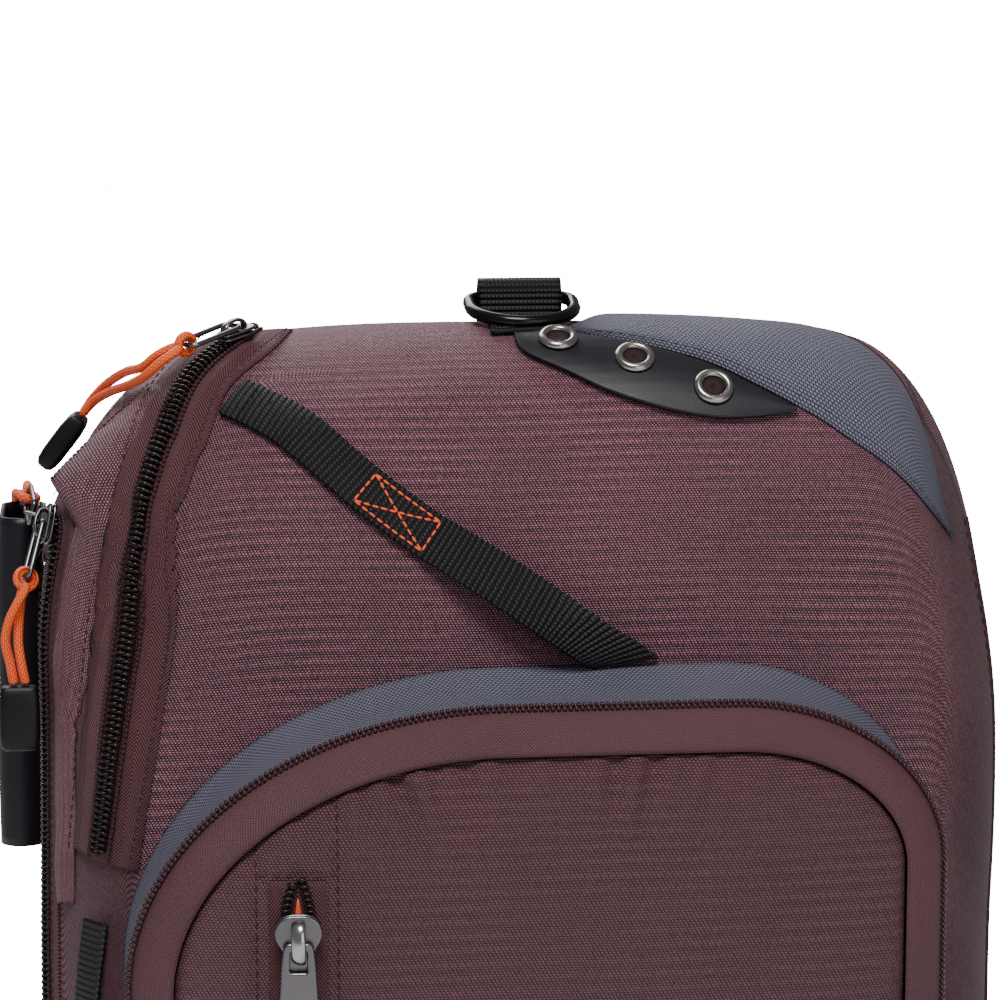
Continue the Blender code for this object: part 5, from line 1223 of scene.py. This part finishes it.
turns = [(-reach * math.cos(t), eye + (LOOP_HIGH - eye) * math.sin(t))
         for t in np.radians(np.linspace(0, 180, 40))]
turns = [(-reach * 1.1, -LOOP_SUNK)] + turns + [(reach * 1.1, -LOOP_SUNK)]
loop = np.array([[(ring_at.x + s * LOOP_WIDE / 2, ring_at.y + a, floor_z + b) for a, b in smooth(turns, 60)]
                 for s in np.linspace(-1, 1, 15)])
loop_out = loop - np.array(ring_at)
loop_out[..., 0] = 0
sheet("ring_webbing_loop", loop, metres(loop), WEBBING_CLOTH, 0.0014, ("d_ring_loop",), outward=loop_out)
strap_low, strap_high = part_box("d_ring_strap")
route = [tuple(BODY_TREE.ray_cast(Vector((ring_at.x, y, 1.0)), Vector((0, 0, -1)))[0])
         for y in np.linspace(strap_high.y, strap_low.y, 8)]
grid, normals = ribbon(route, LOOP_WIDE * 0.9, 60, 11, BODY_TREE, lambda s, c: 0.0019 - 0.0003 * abs(s) ** 3)
sheet("ring_strap_webbing", grid, metres(grid), WEBBING_CLOTH, 0.0012, ("d_ring_strap",), outward=normals)

# Sheath and label tab on the left side: the sheath is smooth black coated sheet, a sleeve open at both ends.
# The tab is a small folded loop of plain webbing, sewn in beside the pocket.
SHEATH_DEEP, SHEATH_WIDE, SHEATH_LONG, SHEATH_Y, SHEATH_LEAN = 0.036, 0.0125, 0.0925, 0.022, 0.0014
SIDE_GAP, SHEATH_ROWS, SHEATH_TOP = 0.0007, 40, 0.868
low_z = SHEATH_TOP * HEIGHT + SIDE_GAP - SHEATH_LONG
half_wide = SHEATH_WIDE / 2
middle_x = -(HALF_WIDTH + SIDE_GAP + half_wide)
straight = SHEATH_DEEP / 2 - half_wide
rings = np.array([[(middle_x + SHEATH_LEAN * share ** 4 + half_wide * math.cos(t) * side,
                    SHEATH_Y + side * (straight + half_wide * math.sin(t)), low_z + SHEATH_LONG * share)
                   for side in (1, -1) for t in np.radians(np.linspace(0, 180, 24))]
                  for share in np.linspace(0, 1, SHEATH_ROWS)])
spokes = rings - rings.mean(axis=1, keepdims=True)
swell = np.sin(np.pi * np.linspace(0, 1, SHEATH_ROWS))[:, None]
rings += unit(spokes) * (waves(rings, 0.05, 0.0005, 21) * swell)[..., None]
sheet("sheath_sleeve", rings, metres(rings, 0), BLACK_SHEET, 0.0012, ("tool_sheath",),
      closed=True, outward=spokes)
LABEL = ((-0.893, 0.505), (-0.905, 0.455), (-0.908, 0.405))
grid, normals = ribbon([tuple(pattern_point(*p)[0]) for p in LABEL], 0.008, 40, 7, BODY_TREE,
                       lambda s, c: 0.0018 + 0.0012 * math.sin(math.pi * c))
sheet("label_loop", grid, metres(grid), WEBBING_CLOTH, 0.0010, ("side_label_tab",), outward=normals)


# Back: a mesh-covered panel and shoulder straps, webbing belts and handle, and moulded buckles.
# They are the plain solids with their edges softened, since the back is out of sight.
def shell_of(node, finish, soft):
    """A copy of a plain solid with its edges softened."""
    made = finish_object(f"{node}_cover", frame["nodes"][node].data.copy(), finish, PACK, (node,))
    made.modifiers.new("weld", "WELD").merge_threshold = 0.00002
    soften = made.modifiers.new("soften", "BEVEL")
    soften.width, soften.segments = soft, 3
    soften.limit_method, soften.angle_limit = "ANGLE", math.radians(35)
    baked(made)
    layer = made.data.uv_layers.get("cloth") or made.data.uv_layers.new(name="cloth")
    coordinates = np.array([made.data.vertices[l.vertex_index].co for l in made.data.loops])
    layer.data.foreach_set("uv", coordinates[:, [2, 0]].astype(np.float32).ravel())
    made.data.shade_smooth()


shell_of("back_panel", MESH_CLOTH, 0.002)
for side in ("left", "right"):
    shell_of(f"shoulder_strap_{side}", MESH_CLOTH, 0.0025)
    shell_of(f"strap_buckle_{side}", BLACK_MATTE, 0.0008)
    shell_of(f"strap_belt_{side}", WEBBING_CLOTH, 0.0003)
shell_of("haul_handle", WEBBING_CLOTH, 0.0005)

# Floor: a pale plain sheet under the pack, and the bounds that tell the pack's size.
# Like the room, it is bright white to the camera alone.
floor = bpy.data.meshes.new("floor")
FLOOR_HALF, FLOOR_LOW = 8, -0.0005
corners = [(a * FLOOR_HALF, b * FLOOR_HALF, FLOOR_LOW) for a, b in ((-1, -1), (1, -1), (1, 1), (-1, 1))]
floor.from_pydata(corners, [], [(0, 1, 2, 3)])
floor_object = bpy.data.objects.new("floor", floor)
bpy.context.scene.collection.objects.link(floor_object)
pale, tree, shader = material("pale_floor", "", (0.92, 0.92, 0.92), 0.9)
shader.inputs["Emission Color"].default_value = (1.0, 1.0, 1.0, 1.0)
seen = put(tree, "ShaderNodeLightPath").outputs["Is Camera Ray"]
tree.links.new(calc(tree, "MULTIPLY", seen, WHITE_SEEN), shader.inputs["Emission Strength"])
floor.materials.append(pale)
floor_object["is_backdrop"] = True

low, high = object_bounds()
